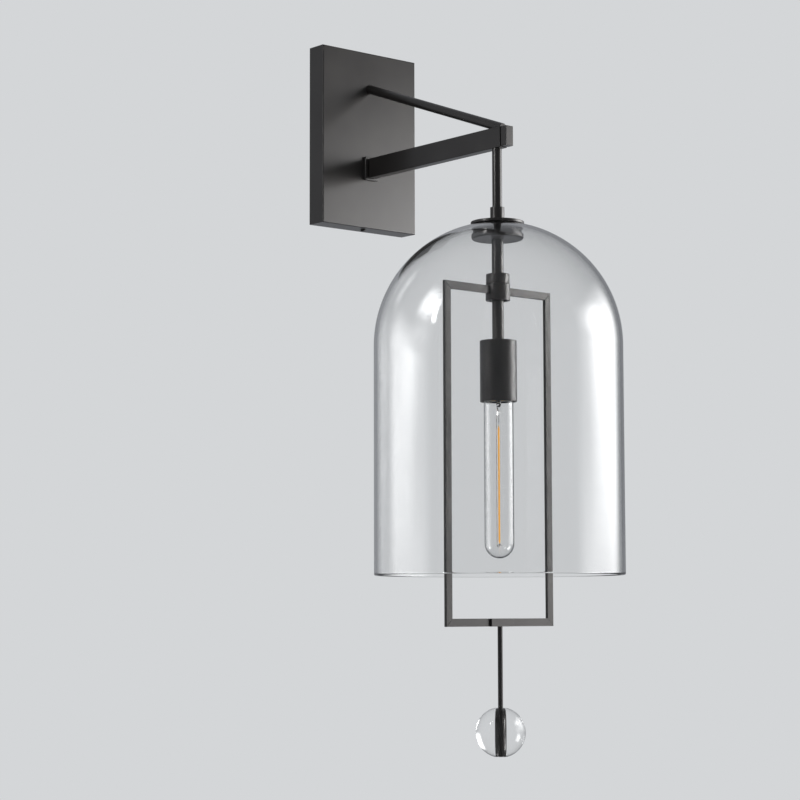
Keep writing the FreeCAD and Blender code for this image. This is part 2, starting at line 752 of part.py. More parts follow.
def upper_stem():
    """The tube under the arm, with a spigot at its top and its lower end in the collar."""
    length = "arm_bottom - (thread_middle + thread_end_gap)"
    top = "%s + arm_wall + anchor_height" % length
    corners = [
        ("lead_bore_radius", top), ("spigot_radius", top), ("spigot_radius", length),
        ("upper_stem_radius", length), ("upper_stem_radius", "0"), ("stem_bore_radius", "0"),
        ("stem_bore_radius", "%s - anchor_height" % length),
        ("lead_bore_radius", "%s - anchor_height" % length),
    ]
    turned("upper_stem", ("0", "-stem_reach", "thread_middle + thread_end_gap"), corners)


def stem_collar():
    """The coupling between the two stems, which sits on the cap disc."""
    corners = [
        ("upper_stem_radius", "0"), ("collar_radius", "0"), ("collar_radius", "collar_height - disc_bevel"),
        ("collar_radius - disc_bevel", "collar_height"), ("upper_stem_radius", "collar_height"),
    ]
    turned("stem_collar", ("0", "-stem_reach", "cap_disc_top"), corners)


def glass_clamp():
    """The disc on the glass, the two gaskets, and the stepped disc with a boss inside the glass."""
    edge = "cap_disc_radius - disc_bevel"
    corners = [
        ("upper_stem_radius", "0"), (edge, "0"), ("cap_disc_radius", "disc_bevel"),
        ("cap_disc_radius", "cap_disc_thickness - disc_bevel"), (edge, "cap_disc_thickness"),
        ("upper_stem_radius", "cap_disc_thickness"),
    ]
    turned("cap_disc", ("0", "-stem_reach", "cap_disc_bottom"), corners)
    for label, level in (("upper_gasket", "glass_top"), ("lower_gasket", "clamp_seat")):
        ring(label, ("0", "-stem_reach", level), "glass_hole_radius", "gasket_radius", "gasket_thickness")
    step = "clamp_disc_thickness"
    seat = "clamp_disc_thickness + clamp_step_height"
    corners = [
        ("upper_stem_radius", "0"), ("clamp_disc_radius - clamp_edge_radius", "0"),
        ("clamp_disc_radius", "clamp_edge_radius"), ("clamp_disc_radius", "%s - disc_bevel" % step),
        ("clamp_disc_radius - disc_bevel", step), ("gasket_radius", step), ("gasket_radius", seat),
        ("boss_radius", seat), ("boss_radius", "%s + boss_height" % seat),
        ("upper_stem_radius", "%s + boss_height" % seat),
    ]
    turned("clamp_disc", ("0", "-stem_reach", "clamp_bottom"), corners, {1: ("clamp_edge_radius", True)})


def glass_shade():
    """The blown bell: a dome with a small ground flat and a hole on top, and a straight skirt."""
    equator = "glass_height - dome_rise"
    inside_top = "glass_height - glass_wall"
    corners = [
        ("glass_radius", "0"), ("glass_radius", equator), ("glass_flat_radius", "glass_height"),
        ("glass_hole_radius", "glass_height"), ("glass_hole_radius", inside_top),
        ("inner_flat_radius", inside_top), ("inner_radius", equator), ("inner_radius", "0"),
    ]
    arcs = {1: ("glass_radius", True), 5: ("inner_radius", False)}
    turned("glass_shade", ("0", "-stem_reach", "glass_rim"), corners, arcs)


def lower_stem():
    """The thicker tube inside the glass: threaded above and below, grooved for the hub's ring."""
    foot = "socket_spigot_length"
    shoulder = "%s + lower_stem_length" % foot
    top = "%s + thread_middle - thread_end_gap - clamp_bottom" % shoulder
    groove = "%s + ring_top - socket_top" % foot
    bottom_of_groove = "%s - ring_thickness" % groove
    waist = "lower_stem_radius - ring_groove_depth"
    corners = [
        ("stem_bore_radius", "0"), ("upper_stem_radius", "0"), ("upper_stem_radius", foot),
        ("lower_stem_radius", foot), ("lower_stem_radius", bottom_of_groove), (waist, bottom_of_groove),
        (waist, groove), ("lower_stem_radius", groove), ("lower_stem_radius", shoulder),
        ("upper_stem_radius", shoulder), ("upper_stem_radius", top), ("stem_bore_radius", top),
    ]
    turned("lower_stem", ("0", "-stem_reach", "socket_top - socket_spigot_length"), corners)


# ---- hub and frame ----------------------------------------------------------------------------------

def lock_collar():
    """The collar fixed above the hub, with its grub screw at the back."""
    edge = "lock_collar_radius - hub_bevel"
    corners = [
        ("lower_stem_radius", "0"), ("lock_collar_radius", "0"),
        ("lock_collar_radius", "lock_collar_height - hub_bevel"), (edge, "lock_collar_height"),
        ("lower_stem_radius", "lock_collar_height"),
    ]
    body = turned("lock_collar", ("0", "-stem_reach", "lock_collar_bottom"), corners)
    pocket(body, "XZ_Plane", [("0", "lock_collar_height / 2", "grub_radius")], "lock_collar_radius",
           along_normal=False)
    sub_part(cylinder("collar_grub_screw", ("0", "-stem_reach + lower_stem_radius",
                                            "lock_collar_bottom + lock_collar_height / 2"),
                      "grub_radius", "grub_length", BACKWARDS), "collar_grub_screw")


def frame_hub():
    """The hub that turns on the stem: slotted for the top bars, recessed below for its ring."""
    bore = "lower_stem_radius + running_fit"
    corners = [
        ("ring_recess_radius", "0"), ("hub_radius - hub_bevel", "0"), ("hub_radius", "hub_bevel"),
        ("hub_radius", "hub_height"), (bore, "hub_height"), (bore, "ring_recess_depth"),
        ("ring_recess_radius", "ring_recess_depth"),
    ]
    body = turned("frame_hub", ("0", "-stem_reach", "hub_bottom"), corners)
    bar_middle = "hub_height - bar_inset - bar_face / 2"
    for sign in ("-", ""):
        middle = "%s(bar_seat + hub_radius) / 2" % sign
        seat = rectangle("hub_radius - bar_seat", "bar_face", middle, bar_middle)
        pocket(body, "XZ_Plane", [seat], "bar_depth", "-bar_depth / 2")
    pocket(body, "XZ_Plane", [("0", "grub_level", "grub_radius")], "hub_radius", along_normal=False)
    sub_part(cylinder("hub_grub_screw", ("0", "-stem_reach + lower_stem_radius + hub_gap",
                                         "hub_bottom + grub_level"),
                      "grub_radius", "grub_length", BACKWARDS), "hub_grub_screw")
    ring("hub_retaining_ring", ("0", "-stem_reach", "ring_top - ring_thickness"),
         "lower_stem_radius - ring_groove_depth", "ring_radius", "ring_thickness")


def frame_bar(label, corners):
    """A flat bar of the frame, drawn as it is seen from the front, with its long edges eased."""
    body = new_body(label, ("0", "-stem_reach + bar_depth / 2", "0"))
    bar = pad(body, "XZ_Plane", [corners], "bar_depth")
    chamfer(body, bar, "bar_bevel", lambda edge: edge.Length > 2 * value("bar_face"))


def frame():
    """Six flat bars: two from the hub, two uprights and two to the block below, mitred at the corners."""
    for side, sign in (("left", "-"), ("right", "")):
        outer = "%shalf_frame" % sign
        inner = "%s(half_frame - bar_face)" % sign
        hub_end = "%sbar_seat" % sign
        block_end = "%sblock_width / 2" % sign
        frame_bar("frame_top_bar_" + side, [
            (hub_end, "frame_top - bar_face"), (inner, "frame_top - bar_face"), (outer, "frame_top"),
            (hub_end, "frame_top")])
        frame_bar("frame_upright_" + side, [
            (inner, "frame_bottom + bar_face"), (outer, "frame_bottom"), (outer, "frame_top"),
            (inner, "frame_top - bar_face")])
        frame_bar("frame_bottom_bar_" + side, [
            (block_end, "frame_bottom"), (outer, "frame_bottom"), (inner, "frame_bottom + bar_face"),
            (block_end, "frame_bottom + bar_face")])


# ---- block, rod and ball ----------------------------------------------------------------------------

def bottom_block():
    """The block between the bottom bars, tapped from below for the rod."""
    body = new_body("frame_bottom_block", ("0", "-stem_reach", "frame_bottom"))
    block = pad(body, "XY_Plane", [rectangle("block_width", "block_depth")], "bar_face")
    chamfer(body, block, "block_bevel", lambda edge: edge.Vertexes[0].Z != edge.Vertexes[-1].Z)
    pocket(body, "XY_Plane", [("0", "0", "rod_radius")], "rod_thread")


def drop_rod():
    """The thin rod from the block down through the ball, and the sleeve and nut in the ball."""
    bottom = "ball_bottom"
    length = "frame_bottom + rod_thread - ball_bottom"
    sub_part(cylinder("drop_rod", ("0", "-stem_reach", bottom), "rod_radius", length), "drop_rod")
    nut_top = "ball_bottom + end_nut_height"
    ring("ball_sleeve", ("0", "-stem_reach", nut_top), "rod_radius", "sleeve_radius",
         "ball_top - (%s)" % nut_top)
    corners = [
        ("rod_radius", "0"), ("end_nut_radius - disc_bevel", "0"), ("end_nut_radius", "disc_bevel"),
        ("end_nut_radius", "end_nut_height"), ("rod_radius", "end_nut_height"),
    ]
    turned("ball_end_nut", ("0", "-stem_reach", bottom), corners)


def crystal_ball():
    """The clear ball, bored through, with a ground flat at each end and a recess for the nut."""
    recess = "end_nut_radius + end_nut_clearance"
    height = "2 * ball_half_height"
    corners = [
        (recess, "0"), ("ball_flat_radius", "0"), ("ball_radius", "ball_half_height"),
        ("ball_flat_radius", height), ("sleeve_radius", height), ("sleeve_radius", "end_nut_height"),
        (recess, "end_nut_height"),
    ]
    arcs = {1: ("ball_radius", True), 2: ("ball_radius", True)}
    turned("crystal_ball", ("0", "-stem_reach", "ball_bottom"), corners, arcs)


# ---- lamp holder ------------------------------------------------------------------------------------

def socket_cup():
    """The metal cup, closed above but for the stem's spigot, and the nut inside it."""
    inside = "socket_radius - socket_wall"
    roof = "socket_length - socket_wall"
    corners = [
        (inside, "0"), ("socket_radius", "0"), ("socket_radius", "socket_length - socket_bevel"),
        ("socket_radius - socket_bevel", "socket_length"), ("upper_stem_radius", "socket_length"),
        ("upper_stem_radius", roof), (inside, roof),
    ]
    turned("socket_cup", ("0", "-stem_reach", "socket_mouth"), corners)
    place = ("0", "-stem_reach", "socket_top - socket_wall - nut_height")
    hex_nut("socket_nut", place, "socket_nut_radius", "upper_stem_radius", "nut_height")


def socket_insert():
    """The ceramic body, with the screw shell, the centre contact and the terminal screws in it."""
    height = "insert_top - insert_bottom"
    roof = "shell_roof - insert_bottom"
    corners = [
        ("shell_radius", "0"), ("insert_radius", "0"), ("insert_radius", height), ("0", height),
        ("0", roof), ("shell_radius", roof),
    ]
    body = turned("socket_insert", ("0", "-stem_reach", "insert_bottom"), corners)
    holes = [("%slead_spacing / 2" % sign, "0", "lead_hole_radius") for sign in ("-", "")]
    for hole in holes:
        pocket(body, "XY_Plane", [hole], "lead_hole_depth", "%s - lead_hole_depth" % height)
    ring("socket_screw_shell", ("0", "-stem_reach", "insert_bottom"), "shell_radius - shell_wall",
         "shell_radius", roof)
    sub_part(cylinder("socket_centre_contact", ("0", "-stem_reach", "shell_roof - contact_thickness"),
                      "contact_radius", "contact_thickness"), "socket_centre_contact")
    screws = [cylinder("socket_terminal_screw_%d" % number,
                       ("%sterminal_screw_offset" % sign, "-stem_reach", "insert_top"),
                       "terminal_screw_radius", "terminal_screw_height")
              for number, sign in enumerate(("-", ""))]
    sub_part(joined("socket_terminal_screws", screws, "Part::Compound"), "socket_terminal_screws")


# ---- lamp -------------------------------------------------------------------------------------------

def lamp_glass():
    """The tubular glass envelope: a domed end, a straight tube, a shoulder and a neck in the cap."""
    inner = "lamp_radius - lamp_glass_wall"
    inner_neck = "neck_radius - lamp_glass_wall"
    shoulder = "lamp_showing"
    neck = "%s + shoulder_length" % shoulder
    top = "%s + neck_length" % neck
    corners = [
        ("0", "0"), ("lamp_radius", "lamp_radius"), ("lamp_radius", shoulder), ("neck_radius", neck),
        ("neck_radius", top), (inner_neck, top), (inner_neck, neck), (inner, shoulder),
        (inner, "lamp_radius"), ("0", "lamp_glass_wall"),
    ]
    arcs = {0: ("lamp_radius", True), 8: (inner, False)}
    turned("lamp_glass", ("0", "-stem_reach", "lamp_tip"), corners, arcs)


def lamp_cap():
    """The screw cap with its thread's crests, the insulator on it and the centre contact."""
    crests = int(value("(cap_length - thread_start - cap_shoulder) / thread_pitch"))
    outer = [("cap_radius", "0")]
    for crest in range(crests):
        start = "thread_start + %d * thread_pitch" % crest
        outer += [("cap_radius", start), ("cap_radius + thread_height", "%s + thread_pitch / 2" % start),
                  ("cap_radius", "%s + thread_share * thread_pitch" % start)]
    inside = "cap_radius - cap_wall"
    roof = "cap_length - cap_wall"
    rim = "insulator_top_radius + cap_rim_width"
    corners = outer + [
        ("cap_radius", "cap_length - cap_shoulder"), (rim, "cap_length"),
        ("insulator_top_radius", "cap_length"), ("insulator_top_radius", roof),
        (inside, "cap_length - cap_inner_shoulder"), (inside, "0"),
    ]
    turned("lamp_cap", ("0", "-stem_reach", "cap_bottom"), corners)
    corners = [
        ("0", "0"), (rim, "0"), ("tip_radius + insulator_rim", "insulator_height"), ("0", "insulator_height"),
    ]
    turned("lamp_insulator", ("0", "-stem_reach", "cap_bottom + cap_length"), corners)
    sub_part(cylinder("lamp_tip_contact", ("0", "-stem_reach", "lamp_top - tip_height"),
                      "tip_radius", "tip_height"), "lamp_tip_contact")


def lamp_mount():
    """The glass mount in the neck, with the filament under it and the wires that hold it."""
    flare = "neck_radius - lamp_glass_wall"
    top = "mount_length + flare_height"
    corners = [
        ("0", "0"), ("mount_radius", "0"), ("mount_radius", "mount_length"),
        (flare, "%s - lamp_glass_wall" % top), (flare, top), ("0", top),
    ]
    turned("lamp_mount", ("0", "-stem_reach", "mount_foot"), corners)
    sub_part(cylinder("lamp_filament", ("0", "-stem_reach", "filament_bottom"), "filament_radius",
                      "filament_length"), "lamp_filament")
    short = pipe("top_wire", [("0", "-stem_reach", "filament_top"), ("0", "-stem_reach", "mount_foot")],
                 [], "wire_radius")
    foot = "filament_bottom - return_wire_offset"
    aside = "-stem_reach + return_wire_offset"
    long = pipe("return_wire", [("0", "-stem_reach", "filament_bottom"), ("0", "-stem_reach", foot),
                                ("0", aside, foot), ("0", aside, "mount_foot + wire_radius"),
                                ("0", "-stem_reach + mount_radius", "mount_foot + wire_radius")],
                ["return_wire_bend", "return_wire_bend", "wire_radius"], "wire_radius")
    sub_part(joined("lamp_support_wires", [short, long], "Part::Compound"), "lamp_support_wires")


# ---- whole lamp -------------------------------------------------------------------------------------

def check_and_write():
    """Stops at any failed object or bad shape, and otherwise writes one file for each sub-part."""
    document.recompute()
    failed = [thing.Label for thing in document.Objects if {"Invalid", "Error"} & set(thing.State)]
    bad = [part.Label for part in SUB_PARTS if part.Shape.isNull() or not part.Shape.isValid()]
    if failed or bad:
        raise ValueError("failed objects %s, bad shapes %s" % (failed, bad))
    os.makedirs("parts", exist_ok=True)
    for part in SUB_PARTS:
        part.Shape.exportStep(os.path.join("parts", part.Label + ".step"))
    print(len(SUB_PARTS), "sub-parts written")


def main():
    fill_sheet()
    for build in (wall_bracket, canopy_shell, canopy_lock_screws, terminal_strip, earth_point, arm_base,
                  arm_tube, arm_end, arm_fixings, strut, stem_anchor, upper_stem, stem_collar,
                  glass_clamp, glass_shade, lower_stem, lock_collar, frame_hub, frame, bottom_block,
                  drop_rod, crystal_ball, socket_cup, socket_insert, lamp_glass, lamp_cap, lamp_mount,
                  leads):
        build()
    check_and_write()


main()
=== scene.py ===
"""Hanging pendant wall sconce, dressed for its photograph: a dark bronze box canopy, arm and strut carry a
clear blown bell over a tubular lamp, a flat-bar frame and a crystal ball drop.

The frame of the part: +Z up, the wall is the plane Y = 0 and the lamp stands out towards -Y. Sizes in
this script are in millimetres, and the frame is in metres.
"""

import json
import math

import bmesh
import bpy
from mathutils import Euler, Matrix, Vector

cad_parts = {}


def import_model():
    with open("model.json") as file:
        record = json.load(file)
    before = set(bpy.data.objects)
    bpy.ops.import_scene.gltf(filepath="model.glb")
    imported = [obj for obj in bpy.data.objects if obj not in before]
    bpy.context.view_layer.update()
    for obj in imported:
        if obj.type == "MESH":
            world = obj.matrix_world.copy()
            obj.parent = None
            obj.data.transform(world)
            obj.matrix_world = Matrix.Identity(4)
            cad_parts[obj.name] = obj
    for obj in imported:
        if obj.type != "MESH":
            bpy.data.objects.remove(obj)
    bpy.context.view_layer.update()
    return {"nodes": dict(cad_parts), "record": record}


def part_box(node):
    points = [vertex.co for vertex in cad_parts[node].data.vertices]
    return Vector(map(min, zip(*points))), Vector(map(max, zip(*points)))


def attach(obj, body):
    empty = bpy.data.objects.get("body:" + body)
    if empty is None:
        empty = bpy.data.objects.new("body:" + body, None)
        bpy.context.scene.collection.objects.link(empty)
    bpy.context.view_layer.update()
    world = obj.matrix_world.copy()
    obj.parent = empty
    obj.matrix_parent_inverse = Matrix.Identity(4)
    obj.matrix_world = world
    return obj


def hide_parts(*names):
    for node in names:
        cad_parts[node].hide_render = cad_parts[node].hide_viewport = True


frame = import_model()

MM = 0.001
NODES = frame["nodes"]

# Bodies that the pieces ride on.
FIXED = "wall_assembly"
FRAME = "hanging_frame"
LAMP = "lamp"

# The stem's axis, which the bell, the frame and the lamp share.
STEM_Y = (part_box("lower_stem")[0].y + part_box("lower_stem")[1].y) / 2 / MM
ON_STEM = (0.0, STEM_Y, 0.0)


def span(node, axis="z"):
    """The lowest and the highest place of a node along an axis, in mm."""
    return tuple(corner["xyz".index(axis)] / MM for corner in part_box(node))


def low(node, axis="z"):
    return span(node, axis)[0]


def high(node, axis="z"):
    return span(node, axis)[1]


def length_of(node, axis="z"):
    return high(node, axis) - low(node, axis)


def middle_of(node, axis="z"):
    return (low(node, axis) + high(node, axis)) / 2


def half_width(node):
    return length_of(node, "x") / 2


def outline(node):
    """The radius, the foot and the top of a round node, in mm."""
    return half_width(node), low(node), high(node)


def corners(node):
    """The lowest and the highest corner of a node's box, in mm."""
    return tuple(zip(*(span(node, axis) for axis in "xyz")))


# ---- materials: nodes ----

def linear(hex_colour):
    """An sRGB hex colour as linear red, green, blue and alpha."""
    def channel(text):
        share = int(text, 16) / 255
        return share / 12.92 if share <= 0.04045 else ((share + 0.055) / 1.055) ** 2.4
    return tuple(channel(hex_colour[at:at + 2]) for at in (1, 3, 5)) + (1.0,)


def adder(tree):
    """Empties a node tree and gives the function that adds a node with its settings and links. An input is
    named, or numbered as _0, and takes a value, an output, or a node for its first output. stops are a
    colour ramp's positions, with their hex colours or grey values."""
    tree.nodes.clear()

    def add(kind, settings=None, stops=(), **inputs):
        node = tree.nodes.new(kind)
        for key, setting in (settings or {}).items():
            setattr(node, key, setting)
        for number, (position, colour) in enumerate(stops):
            colours = node.color_ramp.elements
            stop = colours[number] if number < 2 else colours.new(position)
            stop.position = position
            stop.color = linear(colour) if isinstance(colour, str) else (colour,) * 3 + (1.0,)
        for key, source in inputs.items():
            socket = node.inputs[int(key[1:])] if key[1:].isdigit() else node.inputs[key.replace("_", " ")]
            source = getattr(source, "outputs", [source])[0]
            if isinstance(source, bpy.types.NodeSocket):
                tree.links.new(source, socket)
            else:
                socket.default_value = source
        return node
    return add


def new_material(name):
    """A material, the function that adds its nodes, and the place on the piece for its patterns."""
    material = bpy.data.materials.new(name)
    material.use_nodes = True
    add = adder(material.node_tree)
    return material, add, add("ShaderNodeTexCoord").outputs["Object"]


def per_metre(size_mm):
    """A texture's scale for a pattern whose repeat has the given size."""
    return 1 / (size_mm * MM)


# ---- materials: finishes ----

def lacquered_bronze():
    """Steel and brass parts, blackened, brushed upright and sprayed with satin lacquer. The eye sees a
    dark, slightly warm grey that turns silvery where a lamp is mirrored, with a faint cloudiness."""
    material, add, where = new_material("blackened_bronze_satin_lacquer")
    cloud = add("ShaderNodeTexNoise", Vector=where, Scale=per_metre(55), Detail=2.0, Roughness=0.5)
    colour = add("ShaderNodeValToRGB", _0=cloud,
                 stops=[(0.30, "#3a3837"), (0.52, "#3f3d3c"), (0.74, "#454341")])
    # Brush lines are really about 0.1 mm apart, and are drawn at 0.5 mm so that they show.
    stretch = add("ShaderNodeMapping", Vector=where, Scale=(1.0, 1.0, 0.03))
    hair = add("ShaderNodeTexNoise", Vector=stretch, Scale=per_metre(0.5), Detail=1.0)
    # The lacquer's own fine skin, as of orange peel.
    peel = add("ShaderNodeTexNoise", Vector=where, Scale=per_metre(1.2), Detail=1.0)
    rough = add("ShaderNodeValToRGB", _0=cloud, stops=[(0.25, 0.40), (0.75, 0.48)])
    skin = add("ShaderNodeBump", Strength=0.10, Distance=0.01 * MM, Height=peel)
    bump = add("ShaderNodeBump", Strength=0.12, Distance=0.02 * MM, Height=hair,
               Normal=skin)
    shader = add("ShaderNodeBsdfPrincipled", Base_Color=colour, Metallic=0.85, Roughness=rough,
                 Normal=bump, Coat_Weight=0.8, Coat_Roughness=0.22)
    add("ShaderNodeOutputMaterial", Surface=shader)
    return material


def bare_metal(name, dark, light, roughness, patch_mm, grain_mm, bump_mm):
    """A bare or plated metal: two close colours in patches, and a fine grain."""
    material, add, where = new_material(name)
    patch = add("ShaderNodeTexNoise", Vector=where, Scale=per_metre(patch_mm), Detail=3.0)
    grain = add("ShaderNodeTexNoise", Vector=where, Scale=per_metre(grain_mm), Detail=2.0)
    colour = add("ShaderNodeValToRGB", _0=patch, stops=[(0.35, dark), (0.65, light)])
    rough = add("ShaderNodeValToRGB", _0=patch, stops=[(0.3, roughness - 0.05), (0.7, roughness + 0.07)])
    bump = add("ShaderNodeBump", Strength=0.25, Distance=bump_mm * MM, Height=grain)
    shader = add("ShaderNodeBsdfPrincipled", Base_Color=colour, Metallic=1.0, Roughness=rough,
                 Normal=bump)
    add("ShaderNodeOutputMaterial", Surface=shader)
    return material


def zinc_plate():
    """Bright zinc plating on pressed steel: bluish silver with a spangle of slightly different greys."""
    return bare_metal("bright_zinc_plated_steel", "#8f949a", "#b6babd", 0.33, 9, 0.6, 0.02)


def turned_brass():
    """Plain turned brass, a little dulled by the air."""
    return bare_metal("turned_brass", "#a8823f", "#c9a55a", 0.30, 6, 0.4, 0.01)


def rolled_nickel():
    """The nickel plating of the lamp's rolled cap: warm silver with soft highlights."""
    return bare_metal("nickel_plated_brass", "#a7a29a", "#c2beb6", 0.25, 5, 0.4, 0.01)


def drawn_wire():
    """The lamp's drawn nickel wires, brighter and smoother than its cap."""
    return bare_metal("drawn_nickel_wire", "#bdbab4", "#d0cdc8", 0.20, 3, 0.3, 0.005)


def soft_solder():
    """The solder on the lamp's tip: grey, matt and uneven."""
    return bare_metal("soft_solder", "#8b8c8e", "#a9aaac", 0.45, 2, 0.5, 0.05)


def clear_glass(name, ior, ripple_mm, ripple_height_mm, density, depth_colour):
    """Clear glass that lets lamp light through to what is behind it. Its ripples run upright, and its
    density per metre gives thick edges their colour."""
    material, add, where = new_material(name)
    stretch = add("ShaderNodeMapping", Vector=where, Scale=(1.0, 1.0, 0.25))
    ripple = add("ShaderNodeTexNoise", Vector=stretch, Scale=per_metre(ripple_mm), Detail=1.0)
    bump = add("ShaderNodeBump", Strength=1.0, Distance=ripple_height_mm * MM, Height=ripple)
    clear = add("ShaderNodeBsdfPrincipled", Base_Color=linear("#ffffff"), Roughness=0.0, IOR=ior,
                Normal=bump, Transmission_Weight=1.0)
    passing = add("ShaderNodeBsdfTransparent", Color=linear("#f4f5f6"))
    path = add("ShaderNodeLightPath")
    surface = add("ShaderNodeMixShader", _0=path.outputs["Is Shadow Ray"], _1=clear,
                  _2=passing)
    inside = add("ShaderNodeVolumeAbsorption", Color=linear(depth_colour), Density=density)
    add("ShaderNodeOutputMaterial", Surface=surface, Volume=inside)
    return material


def blown_glass():
    """Soda-lime glass blown in a turning mould: clear, with slow upright ripples and a grey edge."""
    return clear_glass("clear_blown_soda_lime_glass", 1.5, 60, 0.05, 9.0, "#a9b4b9")


def lamp_tube_glass():
    """Drawn lamp glass: thin, clear and even."""
    return clear_glass("drawn_lamp_glass", 1.5, 25, 0.01, 12.0, "#b4bec2")


def crown_crystal():
    """Cut and polished crystal: very clear and strongly refracting."""
    return clear_glass("polished_crystal", 1.56, 40, 0.002, 1.5, "#c9d0d4")


def dull_solid(name, dark, light, roughness, patch_mm, grain_mm, bump_mm):
    """A moulded, extruded or fired material: even colour, a soft gloss and a fine grain."""
    material, add, where = new_material(name)
    patch = add("ShaderNodeTexNoise", Vector=where, Scale=per_metre(patch_mm), Detail=2.0)
    grain = add("ShaderNodeTexNoise", Vector=where, Scale=per_metre(grain_mm), Detail=2.0)
    colour = add("ShaderNodeValToRGB", _0=patch, stops=[(0.3, dark), (0.7, light)])
    rough = add("ShaderNodeValToRGB", _0=grain, stops=[(0.3, roughness - 0.06), (0.7, roughness + 0.06)])
    bump = add("ShaderNodeBump", Strength=0.3, Distance=bump_mm * MM, Height=grain)
    shader = add("ShaderNodeBsdfPrincipled", Base_Color=colour, Roughness=rough, IOR=1.5,
                 Normal=bump)
    add("ShaderNodeOutputMaterial", Surface=shader)
    return material


def moulded_silicone():
    """The gaskets' cast silicone: nearly black, soft and dull."""
    return dull_solid("black_silicone_rubber", "#161616", "#202020", 0.6, 12, 0.5, 0.02)


def moulded_nylon():
    """Injection moulded nylon: creamy and slightly waxy."""
    return dull_solid("natural_nylon_moulding", "#dcd8ca", "#e6e2d6", 0.45, 14, 0.4, 0.01)


def fired_steatite():
    """The holder's ceramic: white with a dry, fine-grained skin."""
    return dull_solid("fired_steatite", "#dfdcd4", "#eae8e2", 0.6, 8, 0.35, 0.03)


def lead_insulation(colour_name, dark, light):
    """Extruded silicone insulation: smooth and slightly shiny."""
    return dull_solid(colour_name + "_silicone_insulation", dark, light, 0.35, 8, 0.5, 0.005)


def fused_vitrite():
    """Fused black glass in the lamp's cap: glossy and almost black."""
    return dull_solid("black_vitrite", "#0e0e10", "#151517", 0.12, 6, 0.5, 0.005)


def filament_phosphor():
    """The phosphor silicone over the row of light-emitting chips: amber, with a faint painted glow of the
    same amber.
    """
    material, add, where = new_material("amber_phosphor_silicone")
    # The chips lie about 1.2 mm apart along the thread, and a wave's band repeats every 2 pi / 20.
    beads = add("ShaderNodeTexWave", {"bands_direction": "Z"}, Vector=where,
                Scale=per_metre(1.2) * math.pi / 10)
    colour = add("ShaderNodeValToRGB", _0=beads.outputs["Fac"], stops=[(0.0, "#e0952a"), (1.0, "#f2b644")])
    # The emission is a painted glow that brightens the amber thread.
    shader = add("ShaderNodeBsdfPrincipled", Base_Color=colour, Roughness=0.4, Emission_Color=colour,
                 Emission_Strength=0.35)
    add("ShaderNodeOutputMaterial", Surface=shader)
    return material


SLOT_MATERIALS = {
    "dark_bronze": lacquered_bronze(),
    "zinc_steel": zinc_plate(),
    "brass": turned_brass(),
    "nickel_cap": rolled_nickel(),
    "lead_wire": drawn_wire(),
    "solder": soft_solder(),
    "clear_glass": blown_glass(),
    "lamp_glass": lamp_tube_glass(),
    "crystal": crown_crystal(),
    "silicone": moulded_silicone(),
    "terminal_nylon": moulded_nylon(),
    "white_ceramic": fired_steatite(),
    "brown_insulation": lead_insulation("brown", "#4a2a17", "#57331d"),
    "blue_insulation": lead_insulation("blue", "#1f4c96", "#2a5aa6"),
    "green_insulation": lead_insulation("green", "#2f7a33", "#3f8c3c"),
    "black_vitrite": fused_vitrite(),
    "led_filament": filament_phosphor(),
}


def dress_cad_nodes():
    """Every CAD node gets the material of its slot, whether a piece stands for it or not."""
    for row in frame["record"]["subparts"]:
        materials = NODES[row["node"]].data.materials
        materials.clear()
        materials.append(SLOT_MATERIALS[row["material_slot"]])


# ---- modelling ----

POLE = 0.0005  # mm, the radius of a ring that is merged to a point
MERGE = 0.002  # mm, the distance within which points are merged
NEAR = 0.01  # mm, the distance within which a point counts as on a plane
SHARP = 30  # degrees, the angle from which an edge is rounded
PAST = 1.0  # mm, how far a cutter reaches past what it cuts


def begin():
    """Puts the new primitive's place into its mesh and opens it for editing."""
    piece = bpy.context.object
    bpy.ops.object.transform_apply(location=True, rotation=True, scale=True)
    bpy.ops.object.mode_set(mode="EDIT")
    return piece


def pick(*pieces):
    """Selects these pieces and nothing else, and makes the first one active."""
    bpy.ops.object.select_all(action="DESELECT")
    for piece in pieces:
        piece.select_set(True)
    bpy.context.view_layer.objects.active = pieces[0]


def choose(piece, test, kind="verts"):
    """Selects the points, edges or faces whose middle passes the test, and nothing else."""
    bpy.ops.mesh.select_mode(type=kind[:-1].upper())
    bpy.ops.mesh.select_all(action="DESELECT")
    mesh = bmesh.from_edit_mesh(piece.data)
    for part in getattr(mesh, kind):
        points = [part] if kind == "verts" else part.verts
        middle = sum((point.co for point in points), Vector()) / len(points)
        part.select_set(bool(test(middle / MM)))
    mesh.select_flush_mode()
    bmesh.update_edit_mesh(piece.data)


def modify(piece, kind, **settings):
    """Adds a modifier to the piece and applies it."""
    modifier = piece.modifiers.new(kind.lower(), kind)
    for key, setting in settings.items():
        setattr(modifier, key, setting)
    bpy.context.view_layer.objects.active = piece
    bpy.ops.object.modifier_apply(modifier=modifier.name)


def close(piece, rounding=0.0, segments=3, smooth=40):
    """Leaves edit mode, rounds the sharp edges and shades the piece smooth up to an angle. The larger face
    sets the normal at a shared point, so that flat faces stay flat beside their rounded edges."""
    if piece.mode == "EDIT":
        bpy.ops.object.mode_set(mode="OBJECT")
    if rounding:
        modify(piece, "BEVEL", width=rounding * MM, segments=segments, limit_method="ANGLE",
               angle_limit=math.radians(SHARP), miter_outer="MITER_ARC")
    pick(piece)
    bpy.ops.object.shade_smooth_by_angle(angle=math.radians(smooth))
    modify(piece, "WEIGHTED_NORMAL", mode="FACE_AREA", keep_sharp=True)
    return piece


def place(piece, where, turn=(0, 0, 0)):
    """Turns a piece in degrees and moves it in mm, and keeps both in its mesh."""
    pick(piece)
    piece.rotation_euler = [math.radians(angle) for angle in turn]
    piece.location = Vector(where) * MM
    bpy.ops.object.transform_apply(location=True, rotation=True, scale=True)
    return piece


